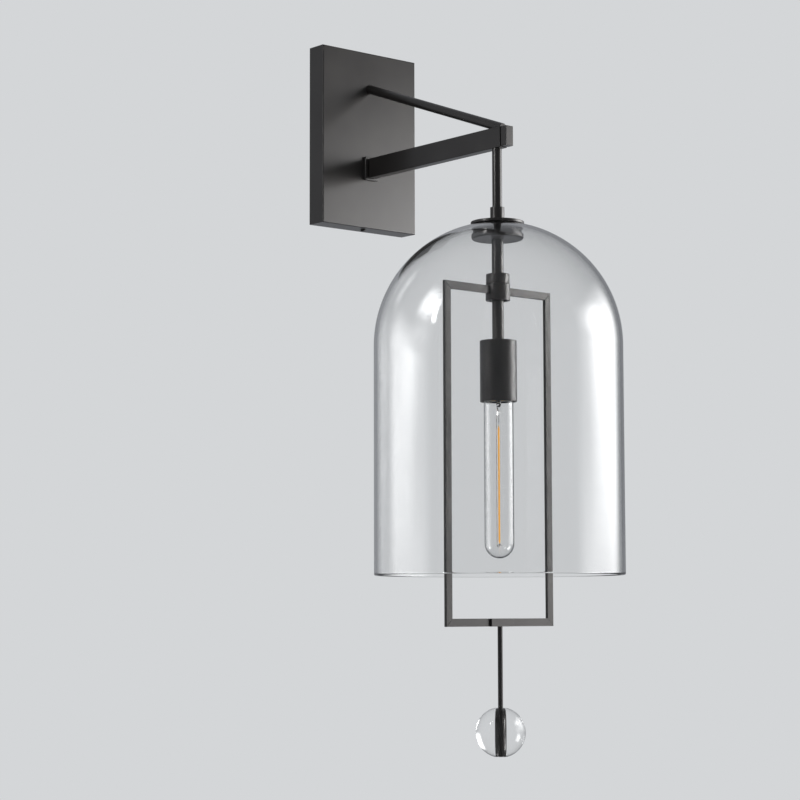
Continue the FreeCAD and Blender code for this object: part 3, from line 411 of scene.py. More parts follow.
def join(pieces):
    """Joins pieces that stand for one node."""
    pick(*pieces)
    bpy.ops.object.join()
    return pieces[0]


# Nodes whose pieces go by a commoner name.
COMMON_NAMES = {"glass_shade": "glass_bell", "lamp_glass": "lamp_tube"}


def stand_for(piece, node, finish, body=FIXED, slot="dark_bronze"):
    """Names the finished piece after its node and how it was made, gives it its material and lets it ride
    in place of its CAD node."""
    piece.name = piece.data.name = COMMON_NAMES.get(node, node) + "_" + finish
    piece.data.materials.clear()
    piece.data.materials.append(SLOT_MATERIALS[slot])
    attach(piece, body)
    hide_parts(node)
    return piece


def turned(rings, sides=64):
    """Turns a piece about the Z axis as on a lathe: one circle is extruded and scaled from ring to ring.
    rings are radius and level in mm. They start and end at a pole, which is a radius of 0, or they are
    closed to their first ring and leave a bore."""
    closing = rings[:1] if rings[0][0] else []
    rings = [(max(radius, POLE), level) for radius, level in rings + closing]
    radius, level = rings[0]
    bpy.ops.object.select_all(action="DESELECT")
    bpy.ops.mesh.primitive_circle_add(vertices=sides, radius=radius * MM, location=(0, 0, level * MM))
    piece = begin()
    bpy.ops.mesh.select_all(action="SELECT")
    for wider, higher in rings[1:]:
        step = {"value": (0, 0, (higher - level) * MM)}
        bpy.ops.mesh.extrude_edges_move(TRANSFORM_OT_translate=step)
        share = wider / radius
        bpy.ops.transform.resize(value=(share, share, 1), center_override=(0, 0, higher * MM))
        radius, level = wider, higher
    merge_points()
    return piece


def merge_points():
    """Merges the points of the open piece that meet, and turns its faces outwards."""
    bpy.ops.mesh.select_all(action="SELECT")
    bpy.ops.mesh.remove_doubles(threshold=MERGE * MM)
    bpy.ops.mesh.normals_make_consistent(inside=False)


def sleeve(inner, outer, bottom, top):
    """The rings of a plain tube."""
    return [(inner, bottom), (outer, bottom), (outer, top), (inner, top)]


def rod(radius, bottom, top):
    """The rings of a solid rod."""
    return [(0, bottom), (radius, bottom), (radius, top), (0, top)]


def arc(centre, radius, start, end, steps, across=0.0):
    """Rings along an arc about a point at the given height, from start to end in degrees above level."""
    rings = []
    for step in range(steps + 1):
        angle = math.radians(start + (end - start) * step / steps)
        rings.append((across + radius * math.cos(angle), centre + radius * math.sin(angle)))
    return rings


def block(lowest, highest):
    """A box between two corners in mm, open for shaping."""
    size = [(b - a) * MM for a, b in zip(lowest, highest)]
    middle = [(a + b) / 2 * MM for a, b in zip(lowest, highest)]
    bpy.ops.object.select_all(action="DESELECT")
    bpy.ops.mesh.primitive_cube_add(size=1, location=middle, scale=size)
    return begin()


def carve(piece, tool):
    """Cuts the tool's shape out of the piece."""
    modify(piece, "BOOLEAN", operation="DIFFERENCE", solver="EXACT", object=tool)
    bpy.data.objects.remove(tool)


def drawn_box(node, rounded, rounding, segments, opened, wall):
    """A thin-walled box as large as its node. rounded tells which edges are rounded, and opened which
    faces are taken away. The wall goes inwards."""
    piece = block(*corners(node))
    choose(piece, rounded, "edges")
    bpy.ops.mesh.bevel(offset=rounding * MM, segments=segments, profile=0.5)
    choose(piece, opened, "faces")
    bpy.ops.mesh.delete(type="FACE")
    bpy.ops.object.mode_set(mode="OBJECT")
    modify(piece, "SOLIDIFY", thickness=wall * MM, offset=-1.0, use_even_offset=True)
    return piece


def on_stem(node, finish, rings, rounding=0.0, sides=64, segments=3, **belongs):
    """A piece turned about the stem's axis that stands for a node. belongs tells its body and its slot."""
    piece = close(turned(rings, sides), rounding, segments)
    return stand_for(place(piece, ON_STEM), node, finish, **belongs)


# ---- canopy and its screws ----

CANOPY_BEVEL = 1.2
CANOPY_WALL = 1.5
SEAM_ROUNDING = 0.35
FINE_ROUNDING = 0.2
SCREW_RADIUS = 2.0
SLOT_FLOOR = 0.45  # the height of a slot's floor, as a share of the screw head's height


def canopy():
    """The drawn box: bevelled round its front, open at the back, with a folded wall."""
    front, back = span("canopy_shell", "y")
    piece = drawn_box("canopy_shell", lambda at: abs(at.y - front) < NEAR, CANOPY_BEVEL, 4,
                      lambda at: abs(at.y - back) < NEAR, CANOPY_WALL)
    stand_for(close(piece, SEAM_ROUNDING, 2), "canopy_shell", "drawn")


def slot_cutter(reach, width, floor, top):
    """The bar that mills a screw's slot, from the slot's floor past the screw's top."""
    return close(block((-reach, -width / 2, floor), (reach, width / 2, top + PAST)))


def slotted_screw(length, head_radius, head_height, slot_width):
    """A cheese-head screw along Z: its shank ends at -length, and its head is above 0 with a milled slot."""
    rings = [(0, -length), (SCREW_RADIUS, -length), (SCREW_RADIUS, 0), (head_radius, 0),
             (head_radius, head_height), (0, head_height)]
    screw = close(turned(rings, 40), FINE_ROUNDING, 2)
    carve(screw, slot_cutter(head_radius + PAST, slot_width, head_height * SLOT_FLOOR, head_height))
    return screw


def terminal_screws():
    """The six headless clamp screws of the terminal strip, sunk in their holes and slotted."""
    node = "terminal_clamp_screws"
    radius, slot_reach, slot_width, slot_depth = 1.5, 2.0, 0.6, 0.9
    length = length_of(node, "y")
    across = half_width(node) - radius
    bottom, top = span(node)
    screws = []
    for side in (-1, 0, 1):
        for level in (bottom + radius, top - radius):
            screw = close(turned(rod(radius, 0, length), 32), FINE_ROUNDING, 2)
            carve(screw, slot_cutter(slot_reach, slot_width, length - slot_depth, length))
            screws.append(place(screw, (side * across, high(node, "y"), level), (90, 0, 0)))
    stand_for(join(screws), node, "slotted", slot="zinc_steel")


def earth_screw():
    """The cheese-head screw that holds the earth lug to the bracket."""
    node = "earth_screw"
    head_height, slot_width = 2.2, 0.9
    screw = slotted_screw(length_of(node, "y") - head_height, half_width(node), head_height, slot_width)
    place(screw, (middle_of(node, "x"), low(node, "y") + head_height, middle_of(node)), (90, 0, 0))
    stand_for(screw, node, "slotted", slot="brass")


def lock_screws():
    """Two slotted screws, up through the canopy's floor and down through its top."""
    node = "canopy_lock_screws"
    length, slot_width = 9.0, 0.8
    seat = length_of("canopy_shell") / 2
    screws = []
    for side in (1, -1):
        screw = slotted_screw(length, half_width(node), high(node) - seat, slot_width)
        screws.append(place(screw, (0, middle_of(node, "y"), side * seat), (90 - 90 * side, 0, 0)))
    stand_for(join(screws), node, "slotted")


# ---- arm and strut ----

ARM_WALL = 1.2
ARM_ROUNDING = 0.5
PLATE_ROUNDING = 0.55
SHADOW_GAP = 1.4  # the dark gap at each end of the arm
SHANK_RADIUS = 4.0
STUD_RADIUS = 2.5
STUD_ROUNDING = 0.3
STRUT_SINK = 1.6  # how far the strut's axis lies below the arm's top at its tip
NUT_ROUNDING = 0.35
NUT_SMOOTH = 20  # degrees, so that the six sides stay flat


def tongue(half, front, back, middle):
    """The tongue in the dark gap, which fills the arm's tube."""
    across, reach = half - ARM_WALL, length_of("arm_tube") / 2 - ARM_WALL
    return close(block((-across, front, middle - reach), (across, back, middle + reach)),
                 FINE_ROUNDING, 2)


def arm_base():
    """The plate at the arm's root, the tongue in the dark gap in front of it and the shank behind."""
    node = "arm_base_plate"
    half, middle = half_width(node), middle_of(node)
    front, face = low("canopy_shell", "y"), high("arm_tube", "y") + SHADOW_GAP
    plate = close(block((-half, face, low(node)), (half, front, high(node))), PLATE_ROUNDING)
    key = tongue(half_width("arm_tube"), low(node, "y"), face + PAST, middle)
    bored = sleeve(STUD_RADIUS, SHANK_RADIUS, -PAST, high(node, "y") - front)
    shank = close(turned(bored, 40), STUD_ROUNDING, 2)
    place(shank, (0, front, middle), (-90, 0, 0))
    stand_for(join([plate, key, shank]), node, "milled")


def arm_tube():
    """The drawn rectangular tube: its two ends are opened and its wall goes inwards."""
    end_rounding, smooth = 0.25, 50
    tip, root = span("arm_tube", "y")
    piece = drawn_box("arm_tube", lambda at: tip < at.y < root and abs(at.x) > 1, ARM_ROUNDING, 3,
                      lambda at: min(abs(at.y - tip), abs(at.y - root)) < NEAR, ARM_WALL)
    stand_for(close(piece, end_rounding, 2, smooth), "arm_tube", "drawn")


def arm_end():
    """The block past the arm's tip, set off by a dark gap that shows its tongue."""
    node = "arm_end_block"
    half, back = half_width(node), low("arm_tube", "y") - SHADOW_GAP
    head = close(block((-half, low(node, "y"), low(node)), (half, back, high(node))), ARM_ROUNDING)
    key = tongue(half, back - PAST, high(node, "y"), middle_of("arm_tube"))
    stand_for(join([head, key]), node, "milled")


def strut():
    """The round rod from the canopy to the arm's tip, mitred at both ends, and its stud."""
    excess, stud_sunk = 20, 3.0
    front, tip = low("canopy_shell", "y"), low("arm_tube", "y")
    level, arm_top = middle_of("strut_nut"), high("arm_tube")
    run, fall = front - tip, level - (arm_top - STRUT_SINK)
    slope = math.degrees(math.atan2(fall, run))
    bar = turned(rod(half_width("strut_rod"), -excess, math.hypot(run, fall) + excess), 48)
    bpy.ops.object.mode_set(mode="OBJECT")
    place(bar, (0, front, level), (90 + slope, 0, 0))
    bpy.ops.object.mode_set(mode="EDIT")
    for point, normal in (((0, front, 0), (0, 1, 0)), ((0, tip, 0), (0, -1, 0)),
                          ((0, 0, arm_top), (0, 0, -1))):
        bpy.ops.mesh.select_all(action="SELECT")
        bpy.ops.mesh.bisect(plane_co=[c * MM for c in point], plane_no=normal, use_fill=True,
                            clear_outer=True)
    close(bar, FINE_ROUNDING, 2)
    threaded = rod(STUD_RADIUS, -stud_sunk, high("strut_rod", "y") - front)
    stud = close(turned(threaded, 32), STUD_ROUNDING, 2)
    place(stud, (0, front, level), (-90, 0, 0))
    stand_for(join([bar, stud]), "strut_rod", "mitred")


def lay_back(piece, node):
    """Lays a turned piece along Y, from the node's front towards the wall."""
    return place(piece, (0, low(node, "y"), middle_of(node)), (-90, 0, 0))


def hexagon_nut(node, bore):
    """A hexagon nut with eased corners, behind the canopy's front."""
    depth = length_of(node, "y")
    nut = close(turned(rod(half_width(node), 0, depth), 6), NUT_ROUNDING, 2, NUT_SMOOTH)
    carve(nut, close(turned(rod(bore, -PAST, depth + PAST), 40)))
    stand_for(lay_back(nut, node), node, "turned", slot="zinc_steel")


def flat_washer(node, bore):
    """The flat washer under a nut."""
    rings = sleeve(bore, half_width(node), 0, length_of(node, "y"))
    washer = close(turned(rings, 48), FINE_ROUNDING, 2)
    stand_for(lay_back(washer, node), node, "pressed", slot="zinc_steel")


# ---- stem, discs and gaskets ----

STEM_RADIUS = 5.0
STEM_BORE = 3.0
LOWER_STEM_RADIUS = 6.0
GROOVE_RADIUS = 5.3
GLASS_HOLE = 11.0


def ring_on_stem(node, finish, bore, rounding, sides, **belongs):
    """A plain ring or tube about the stem's axis, as large as its node."""
    return on_stem(node, finish, sleeve(bore, *outline(node)), rounding, sides, **belongs)


def stem_and_discs():
    """The upper stem with its thread, its collar with a fine step, the disc on the glass and the gaskets."""
    bottom, top = span("upper_stem")
    shoulder = low("arm_tube")
    thread, thread_bore = 3.3, 2.5
    on_stem("upper_stem", "tube",
            [(STEM_BORE, bottom), (STEM_RADIUS, bottom), (STEM_RADIUS, shoulder), (thread, shoulder),
             (thread, top), (thread_bore, top), (thread_bore, shoulder - PAST),
             (STEM_BORE, shoulder - PAST)], 0.1, 48)
    radius, bottom, top = outline("stem_collar")
    step, step_height = 0.4, 0.5
    on_stem("stem_collar", "turned",
            [(STEM_RADIUS, bottom), (radius - step, bottom), (radius - step, bottom + step_height),
             (radius, bottom + step_height), (radius, top), (STEM_RADIUS, top)], 0.4)
    ring_on_stem("cap_disc", "turned", STEM_RADIUS, 0.6, 128)
    for gasket in ("upper_gasket", "lower_gasket"):
        ring_on_stem(gasket, "moulded", GLASS_HOLE, 0.25, 96, slot="silicone")


def clamp_disc():
    """The stepped disc inside the bell: a rounded lower edge, and two fine grooves on its step."""
    bottom, boss_top = span("clamp_disc")
    seat, step = low("lower_gasket"), half_width("lower_gasket")
    disc_top, disc_radius, boss_radius = bottom + 6.0, 26.8, 10.0
    lower_edge, upper_edge = 2.4, 0.5
    flat = disc_radius - lower_edge
    rings = [(STEM_RADIUS, bottom), (flat, bottom)]
    rings += arc(bottom + lower_edge, lower_edge, -90, 0, 6, flat)[1:]
    rings += [(disc_radius, disc_top - upper_edge), (disc_radius - upper_edge, disc_top), (step, disc_top)]
    for groove in (1.0, 2.3):
        rings += [(step, disc_top + groove), (step - 0.5, disc_top + groove + 0.2),
                  (step - 0.5, disc_top + groove + 0.4), (step, disc_top + groove + 0.6)]
    rings += [(step, seat), (boss_radius, seat), (boss_radius, boss_top), (STEM_RADIUS, boss_top)]
    on_stem("clamp_disc", "turned", rings, 0.1, 128, 2)


def bell():
    """The blown bell: dome, ground flat and hole, and a fire-polished rim on its straight skirt."""
    radius, rim, top = outline("glass_shade")
    wall, flat, hole_bevel = 3.0, 28.0, 0.4
    rise = math.sqrt(radius ** 2 - flat ** 2)
    centre = top - rise
    brow = math.degrees(math.atan2(rise, flat))
    inner = radius - wall
    inner_flat = math.sqrt(inner ** 2 - (rise - wall) ** 2)
    inner_brow = math.degrees(math.atan2(rise - wall, inner_flat))
    # Rings near the rim keep the skirt's shading flat beside the rounding.
    skirt = [rim + wall + (centre - rim) * share / 12 for share in range(11)]
    rings = arc(rim + wall / 2, wall / 2, -180, 0, 8, radius - wall / 2)
    rings += [(radius, level) for level in skirt]
    rings += arc(centre, radius, 0, brow, 40)
    rings += [(GLASS_HOLE + hole_bevel, top), (GLASS_HOLE, top - hole_bevel),
              (GLASS_HOLE, top - wall + hole_bevel), (GLASS_HOLE + hole_bevel, top - wall)]
    rings += arc(centre, inner, inner_brow, 0, 40)
    rings += [(inner, level) for level in reversed(skirt)]
    on_stem("glass_shade", "blown", rings, 0, 192, slot="clear_glass")


def lower_stem():
    """The thicker tube in the bell, with its threads' reliefs and the groove of the hub's ring."""
    bottom, top = span("lower_stem")
    cup_top, disc_bottom = high("socket_cup"), low("clamp_disc")
    groove_low, groove_top = span("hub_retaining_ring")
    radius = LOWER_STEM_RADIUS
    rings = [(STEM_BORE, bottom), (STEM_RADIUS, bottom), (STEM_RADIUS, cup_top), (radius, cup_top),
             (radius, groove_low), (GROOVE_RADIUS, groove_low), (GROOVE_RADIUS, groove_top),
             (radius, groove_top), (radius, disc_bottom), (STEM_RADIUS, disc_bottom), (STEM_RADIUS, top),
             (STEM_BORE, top)]
    on_stem("lower_stem", "tube", rings, 0.08, 64, 2)


# ---- hub and frame ----

BAR_FACE = 8.0
BAR_ROUNDING = 0.35


def grub_screw(node, body):
    """A headless screw with a hexagon socket, at the back of its collar."""
    socket_radius, socket_depth = 1.1, 1.4
    length = length_of(node, "y")
    piece = close(turned(rod(SCREW_RADIUS, 0, length), 32), 0.25, 2)
    carve(piece, close(turned(rod(socket_radius, length - socket_depth, length + PAST), 6)))
    stand_for(lay_back(piece, node), node, "socket", body)


def bored_at_back(piece, node):
    """Drills the hole that a grub screw sits in."""
    clearance, reach = 0.05, 20
    drill = close(turned(rod(SCREW_RADIUS + clearance, 0, reach), 32))
    place(drill, (0, low(node, "y") - PAST, middle_of(node)), (-90, 0, 0))
    carve(piece, drill)
    close(piece)


def collar_and_hub():
    """The lock collar and the hub, with their grub screws."""
    collar = ring_on_stem("lock_collar", "turned", LOWER_STEM_RADIUS, 0.5, 96)
    bored_at_back(collar, "collar_grub_screw")
    radius, bottom, top = outline("frame_hub")
    running_bore, recess, recess_top = 6.05, 9.5, bottom + 3
    rings = [(recess, bottom), (radius, bottom), (radius, top), (running_bore, top),
             (running_bore, recess_top), (recess, recess_top)]
    hub = on_stem("frame_hub", "turned", rings, 0.45, 96, body=FRAME)
    bored_at_back(hub, "hub_grub_screw")
    grub_screw("collar_grub_screw", FIXED)
    grub_screw("hub_grub_screw", FRAME)


def split_ring():
    """The snap ring in the lower stem's groove, open at its front."""
    node = "hub_retaining_ring"
    ring_radius, thickness, half_gap, gap_reach = 9.0, 1.2, 2.2, 12
    ring = close(turned(sleeve(GROOVE_RADIUS, ring_radius, 0, thickness), 48), 0.15, 2)
    place(ring, (0, STEM_Y, low(node)))
    carve(ring, close(block((-half_gap, STEM_Y - gap_reach, low(node) - PAST),
                            (half_gap, STEM_Y, high(node) + PAST))))
    stand_for(ring, node, "split", slot="zinc_steel")


def frame_bar(node, mitres):
    """A flat bar with eased edges. mitres are the ends that are cut at 45 degrees, as an axis, a side of
    the bar's length and the side of its inner edge."""
    ends = corners(node)
    bar = block(*ends)
    for axis, end, inner in mitres:
        across = 2 - axis
        far, near = ends[end > 0][axis], ends[inner > 0][across]
        choose(bar, lambda at: abs(at[axis] - far) < NEAR and abs(at[across] - near) < NEAR)
        step = [0.0, 0.0, 0.0]
        step[axis] = -end * BAR_FACE * MM
        bpy.ops.transform.translate(value=step)
    stand_for(close(bar, BAR_ROUNDING, 2), node, "milled", FRAME)


def frame_bars():
    """Two top bars, two uprights and two bottom bars, mitred where they meet."""
    for side, way in (("left", -1), ("right", 1)):
        frame_bar("frame_top_bar_" + side, [(0, way, -1)])
        frame_bar("frame_bottom_bar_" + side, [(0, way, 1)])
        frame_bar("frame_upright_" + side, [(2, 1, -way), (2, -1, -way)])


def block_and_rod():
    """The block in the middle of the bottom bar, and the rod that hangs from it."""
    node, rod_radius = "frame_bottom_block", 2.5
    stand_for(close(block(*corners(node)), 0.4), node, "milled", FRAME)
    on_stem("drop_rod", "turned", rod(rod_radius, *span("drop_rod")), 0.3, 40, body=FRAME)


# ---- crystal ball ----

def ball():
    """The polished ball with its flats and nut recess. Its sleeve is bonded in the bore, so that the two
    overlap by a hair and no air shows between them."""
    bottom, top = span("crystal_ball")
    radius, flat, rod_bore, overlap, nut_clearance = 25.0, 7.0, 2.5, 0.04, 0.3
    lean = math.degrees(math.acos(flat / radius))
    nut_top = high("ball_end_nut")
    recess = half_width("ball_end_nut") + nut_clearance
    bore = half_width("ball_sleeve") - overlap
    rings = [(recess, bottom)] + arc((bottom + top) / 2, radius, -lean, lean, 64)
    rings += [(bore, top), (bore, nut_top), (recess, nut_top)]
    on_stem("crystal_ball", "polished", rings, 0, 128, body=FRAME, slot="crystal")
    ring_on_stem("ball_sleeve", "turned", rod_bore, 0.15, 48, body=FRAME)
    ring_on_stem("ball_end_nut", "turned", rod_bore, 0.5, 64, body=FRAME)


# ---- lamp holder ----

def holder():
    """The turned cup with its ceramic body, screw shell and contact."""
    wall = 1.2
    radius, mouth, top = outline("socket_cup")
    rings = [(radius - wall, mouth), (radius, mouth), (radius, top), (STEM_RADIUS, top),
             (STEM_RADIUS, top - wall), (radius - wall, top - wall)]
    on_stem("socket_cup", "turned", rings, 0.4, 96)
    radius, bottom, top = outline("socket_insert")
    shell, roof = half_width("socket_screw_shell"), high("socket_screw_shell")
    rings = [(0, roof), (shell, roof), (shell, bottom), (radius, bottom), (radius, top), (0, top)]
    on_stem("socket_insert", "pressed", rings, 0.5, 96, 2, slot="white_ceramic")
    screw_shell(bottom, roof, shell)
    point, shoulder = 0.4, 0.7
    radius, bottom, top = outline("socket_centre_contact")
    rings = [(0, bottom), (radius * point, bottom), (radius, bottom + shoulder), (radius, top), (0, top)]
    on_stem("socket_centre_contact", "sprung", rings, 0.15, 40, 2, slot="brass")


def rolled_thread(root, height, start, pitch, turns, steps=6):
    """The rings of a rolled thread, drawn as waves of the given height about the root. A negative height
    sinks them."""
    return [(root + height * (0.5 - 0.5 * math.cos(2 * math.pi * step / steps)), start + pitch * step / steps)
            for step in range(turns * steps + 1)]


def screw_shell(bottom, roof, radius):
    """The rolled brass shell, with its thread's waves."""
    wall, wave, turns = 0.35, 0.3, 6
    outside = rolled_thread(radius, -wave, bottom, (roof - bottom) / turns, turns)
    inside = [(ring - wall, level) for ring, level in reversed(outside)]
    on_stem("socket_screw_shell", "rolled", outside + inside, slot="brass")


# ---- lamp ----

def tube_of_lamp():
    """The tube's drawn glass: domed below round a sealed pip, and necked in at the cap."""
    radius, tip, top = outline("lamp_glass")
    mouth = low("socket_cup")
    wall, neck, pip = 1.0, 11.8, 2.2
    bore, dome = radius - wall, tip + radius
    # Rings on the straight part keep its shading flat beside the dome and the neck.
    straight_low, straight_high, shoulder, throat = dome + 50, mouth - 40, mouth - 0.4, mouth + 3.0
    inner = [(0, tip + wall + 1.1), (pip * 0.7, tip + wall + 0.4)]
    inner += arc(dome, bore, -78, 0, 20)
    inner += [(bore, straight_low), (bore, straight_high), (bore, shoulder), (bore - 0.8, mouth + 0.9),
              (neck - wall, throat), (neck - wall, top)]
    outer = [(neck, top), (neck, throat), (radius - 0.8, mouth + 0.9), (radius, shoulder),
             (radius, straight_high), (radius, straight_low)]
    outer += arc(dome, radius, 0, -80, 20)
    outer += [(pip, tip + 0.35), (pip * 0.8, tip + 0.1), (0, tip)]
    on_stem("lamp_glass", "drawn", inner + outer, 0, 96, body=LAMP, slot="lamp_glass")


def cap_of_lamp():
    """The rolled nickel cap with its thread, the black glass insulator and the soldered tip."""
    bottom, top = span("lamp_cap")
    depth, wall, pitch, lead_in, shoulder = 0.35, 0.5, 3.6, 3.0, 2.0
    shoulder_radius, hole_radius, inner_shoulder, neck = 10.0, 6.0, 3.0, 5.0
    root = half_width("lamp_cap") - depth
    start = bottom + lead_in
    thread = rolled_thread(root, depth, start, pitch, int((top - shoulder - start) / pitch))
    rings = [(root - wall, bottom), (root, bottom)] + thread
    rings += [(root, top - shoulder), (shoulder_radius, top), (hole_radius, top), (hole_radius, top - wall),
              (root - wall, top - inner_shoulder)]
    on_stem("lamp_cap", "rolled", rings, 0, 72, body=LAMP, slot="nickel_cap")
    radius, bottom, top = outline("lamp_insulator")
    rings = [(0, bottom), (radius, bottom), (neck, top), (0, top)]
    on_stem("lamp_insulator", "fused", rings, 0.4, 48, body=LAMP, slot="black_vitrite")
    radius, bottom, top = outline("lamp_tip_contact")
    rings = [(0, bottom), (radius, bottom), (radius * 0.9, bottom + 0.5), (radius * 0.5, top), (0, top)]
    on_stem("lamp_tip_contact", "soldered", rings, 0, 40, body=LAMP, slot="solder")


def lamp_mount():
    """The glass mount: pressed flat and beaded at its foot, and flared to the neck."""
    press, press_from, press_to, press_centre = 0.55, 0.5, 9.0, 4.5
    flare, bottom, top = outline("lamp_mount")
    rings = [(0, bottom)]
    rings += [(radius, bottom + level) for radius, level in (
        (1.5, 0.2), (2.3, 1.0), (2.6, 2.2), (2.3, 3.6), (1.4, 4.6), (1.5, 5.6), (2.5, 7.0), (2.6, 8.6),
        (2.0, 10.2), (2.5, 11.8))]
    rings += [(2.4, top - 4.6), (4.0, top - 3.1), (flare - 1.2, top - 1.0), (flare, top - 0.5),
              (flare - 0.3, top), (0, top)]
    mount = turned(rings, 48)
    choose(mount, lambda at: bottom + press_from < at.z < bottom + press_to)
    bpy.ops.transform.resize(value=(1, press, 1), center_override=(0, 0, (bottom + press_centre) * MM))
    place(close(mount, smooth=60), ON_STEM)
    stand_for(mount, "lamp_mount", "pressed", LAMP, "lamp_glass")


def lamp_filament():
    """The amber thread, with a thin bare end at its top and foot."""
    bare_radius, bare_end, shoulder = 0.45, 1.5, 1.8
    radius, bottom, top = outline("lamp_filament")
    rings = [(0, bottom), (bare_radius, bottom), (bare_radius, bottom + bare_end),
             (radius, bottom + shoulder), (radius, top - shoulder), (bare_radius, top - bare_end),
             (bare_radius, top), (0, top)]
    on_stem("lamp_filament", "thread", rings, 0, 24, body=LAMP, slot="led_filament")


def wire(points, radius):
    """A round wire through points in mm, bent smoothly."""
    curve = bpy.data.curves.new("wire", "CURVE")
    curve.dimensions = "3D"
    curve.bevel_depth = radius * MM
    curve.bevel_resolution = 3
    curve.use_fill_caps = True
    spline = curve.splines.new("NURBS")
    spline.points.add(len(points) - 1)
    for knot, at in zip(spline.points, points):
        knot.co = (at[0] * MM, at[1] * MM, at[2] * MM, 1.0)
    spline.order_u = 3
    spline.use_endpoint_u = True
    spline.resolution_u = 8
    piece = bpy.data.objects.new("wire", curve)
    bpy.context.scene.collection.objects.link(piece)
    pick(piece)
    bpy.ops.object.convert(target="MESH")
    piece = bpy.context.object
    bpy.ops.object.mode_set(mode="EDIT")
    merge_points()
    return close(piece)


def lamp_wires():
    """The wire to the filament's top, the return wire beside it, and the crown that steadies its foot."""
    thick, thin, anchors, first_anchor = 0.35, 0.25, 3, 50
    foot, top = span("lamp_filament")
    mount = low("lamp_mount")
    lowest = low("lamp_support_wires") + thick
    aside = STEM_Y + 3.4
    wires = [
        wire([(0, STEM_Y, top - 0.5), (0.4, STEM_Y, top + 1.6), (0, STEM_Y, mount + 0.8)], thick),
        wire([(0, STEM_Y, foot + 0.5), (0, STEM_Y, lowest + 0.2), (0, STEM_Y + 1.7, lowest),
              (0, aside, lowest + 0.6), (0, aside, foot + 4), (0, aside, mount - 4),
              (0, aside, mount + 0.2), (0, aside - 1.2, mount + 1.4)], thick),
    ]
    for turn in range(anchors):
        angle = math.radians(first_anchor + 360 / anchors * turn)
        across, along = math.cos(angle), math.sin(angle)
        points = [(across * reach, STEM_Y + along * reach, level) for reach, level in (
            (0, foot - 0.3), (1.2, foot - 1.0), (2.6, lowest + 1.0), (3.2, lowest + 1.6))]
        wires.append(wire(points, thin))
    stand_for(join(wires), "lamp_support_wires", "bent", LAMP, "lead_wire")


# ---- inside the canopy ----

def terminals():
    """The moulded strip: a barrel for each pole on a thin web, with the wells of its clamp screws."""
    poles, web_depth, inset, gap = 3, 4.0, 1.0, 0.5
    well_radius, well_depth, well_inset, well_floor, port_radius = 1.9, 6, 4.5, 0.35, 1.6
    (left, front, bottom), (right, back, top) = corners("terminal_strip")
    pitch = (right - left) / poles
    parts = [close(block((left, back - web_depth, bottom + inset), (right, back, top - inset)), 0.5, 2)]
    for pole in range(poles):
        side = left + pole * pitch
        barrel = close(block((side + gap, front, bottom), (side + pitch - gap, back - inset, top)), 0.9)
        for level in (bottom + well_inset, top - well_inset):
            well = close(turned(rod(well_radius, 0, well_depth), 32))
            place(well, (side + pitch / 2, front + (back - front) * well_floor, level), (90, 0, 0))
            carve(barrel, well)
        port = close(turned(rod(port_radius, bottom - PAST, top + PAST), 32))
        place(port, (side + pitch / 2, (front + back) / 2, 0))
        carve(barrel, port)
        parts.append(close(barrel))
    stand_for(join(parts), "terminal_strip", "moulded", slot="terminal_nylon")


def main():
    dress_cad_nodes()
    canopy()
    lock_screws()
    terminal_screws()
    earth_screw()
    arm_base()
    arm_tube()
    arm_end()
    strut()
    hexagon_nut("arm_nut", SHANK_RADIUS)
    hexagon_nut("strut_nut", STUD_RADIUS)
    flat_washer("arm_washer", SHANK_RADIUS)
    flat_washer("strut_washer", STUD_RADIUS)
    stem_and_discs()
    clamp_disc()
    bell()
    lower_stem()
    collar_and_hub()
    split_ring()
    frame_bars()
    block_and_rod()
    ball()
    holder()
    tube_of_lamp()
    cap_of_lamp()
    lamp_mount()
    lamp_filament()
    lamp_wires()
    terminals()
    camera()
    studio()


# ---- camera and studio ----

# The photograph's camera: its place in mm, its heading from +Y towards +X, its rise and its roll.
CAMERA_PLACE = (-1517.8, -1887.4, -515.6)
HEADING = 39.934
RISE = 5.455
ROLL = -0.138
LENS = 100.06
SENSOR = 36.0

BACKGROUND = "#d4d6d8"
DIM_ROOM = "#585a5d"
WALL_SIDE = "#94969a"
DIM_FLOOR = "#333537"
EVEN_LIGHT = 0.8

# The studio's sizes in metres.
FLOOR_LEVEL = -1.3
FLOOR_RADIUS = 9
FADE_START = 1.0
FADE_END = 4.5
VIEW_DEPTH = 60


def camera():
    data = bpy.data.cameras.new("camera")
    data.lens = LENS
    data.sensor_width = SENSOR
    data.clip_end = VIEW_DEPTH
    eye = bpy.data.objects.new("camera", data)
    bpy.context.scene.collection.objects.link(eye)
    aim = Euler((math.radians(90 + RISE), 0, math.radians(-HEADING))).to_matrix()
    aim = aim @ Matrix.Rotation(math.radians(ROLL), 3, "Z")
    eye.matrix_world = Matrix.Translation(Vector(CAMERA_PLACE) * MM) @ aim.to_4x4()
    bpy.context.scene.camera = eye


def fading(add, place, edge):
    """1 in the middle of a softbox and 0 at its rim, along one of its sides."""
    aside = add("ShaderNodeMath", {"operation": "SUBTRACT"}, _0=place, _1=0.5)
    away = add("ShaderNodeMath", {"operation": "ABSOLUTE"}, _0=aside)
    return add("ShaderNodeMapRange", {"interpolation_type": "SMOOTHSTEP"}, Value=away,
               From_Min=0.5, From_Max=0.5 - edge, To_Min=0.0, To_Max=1.0)


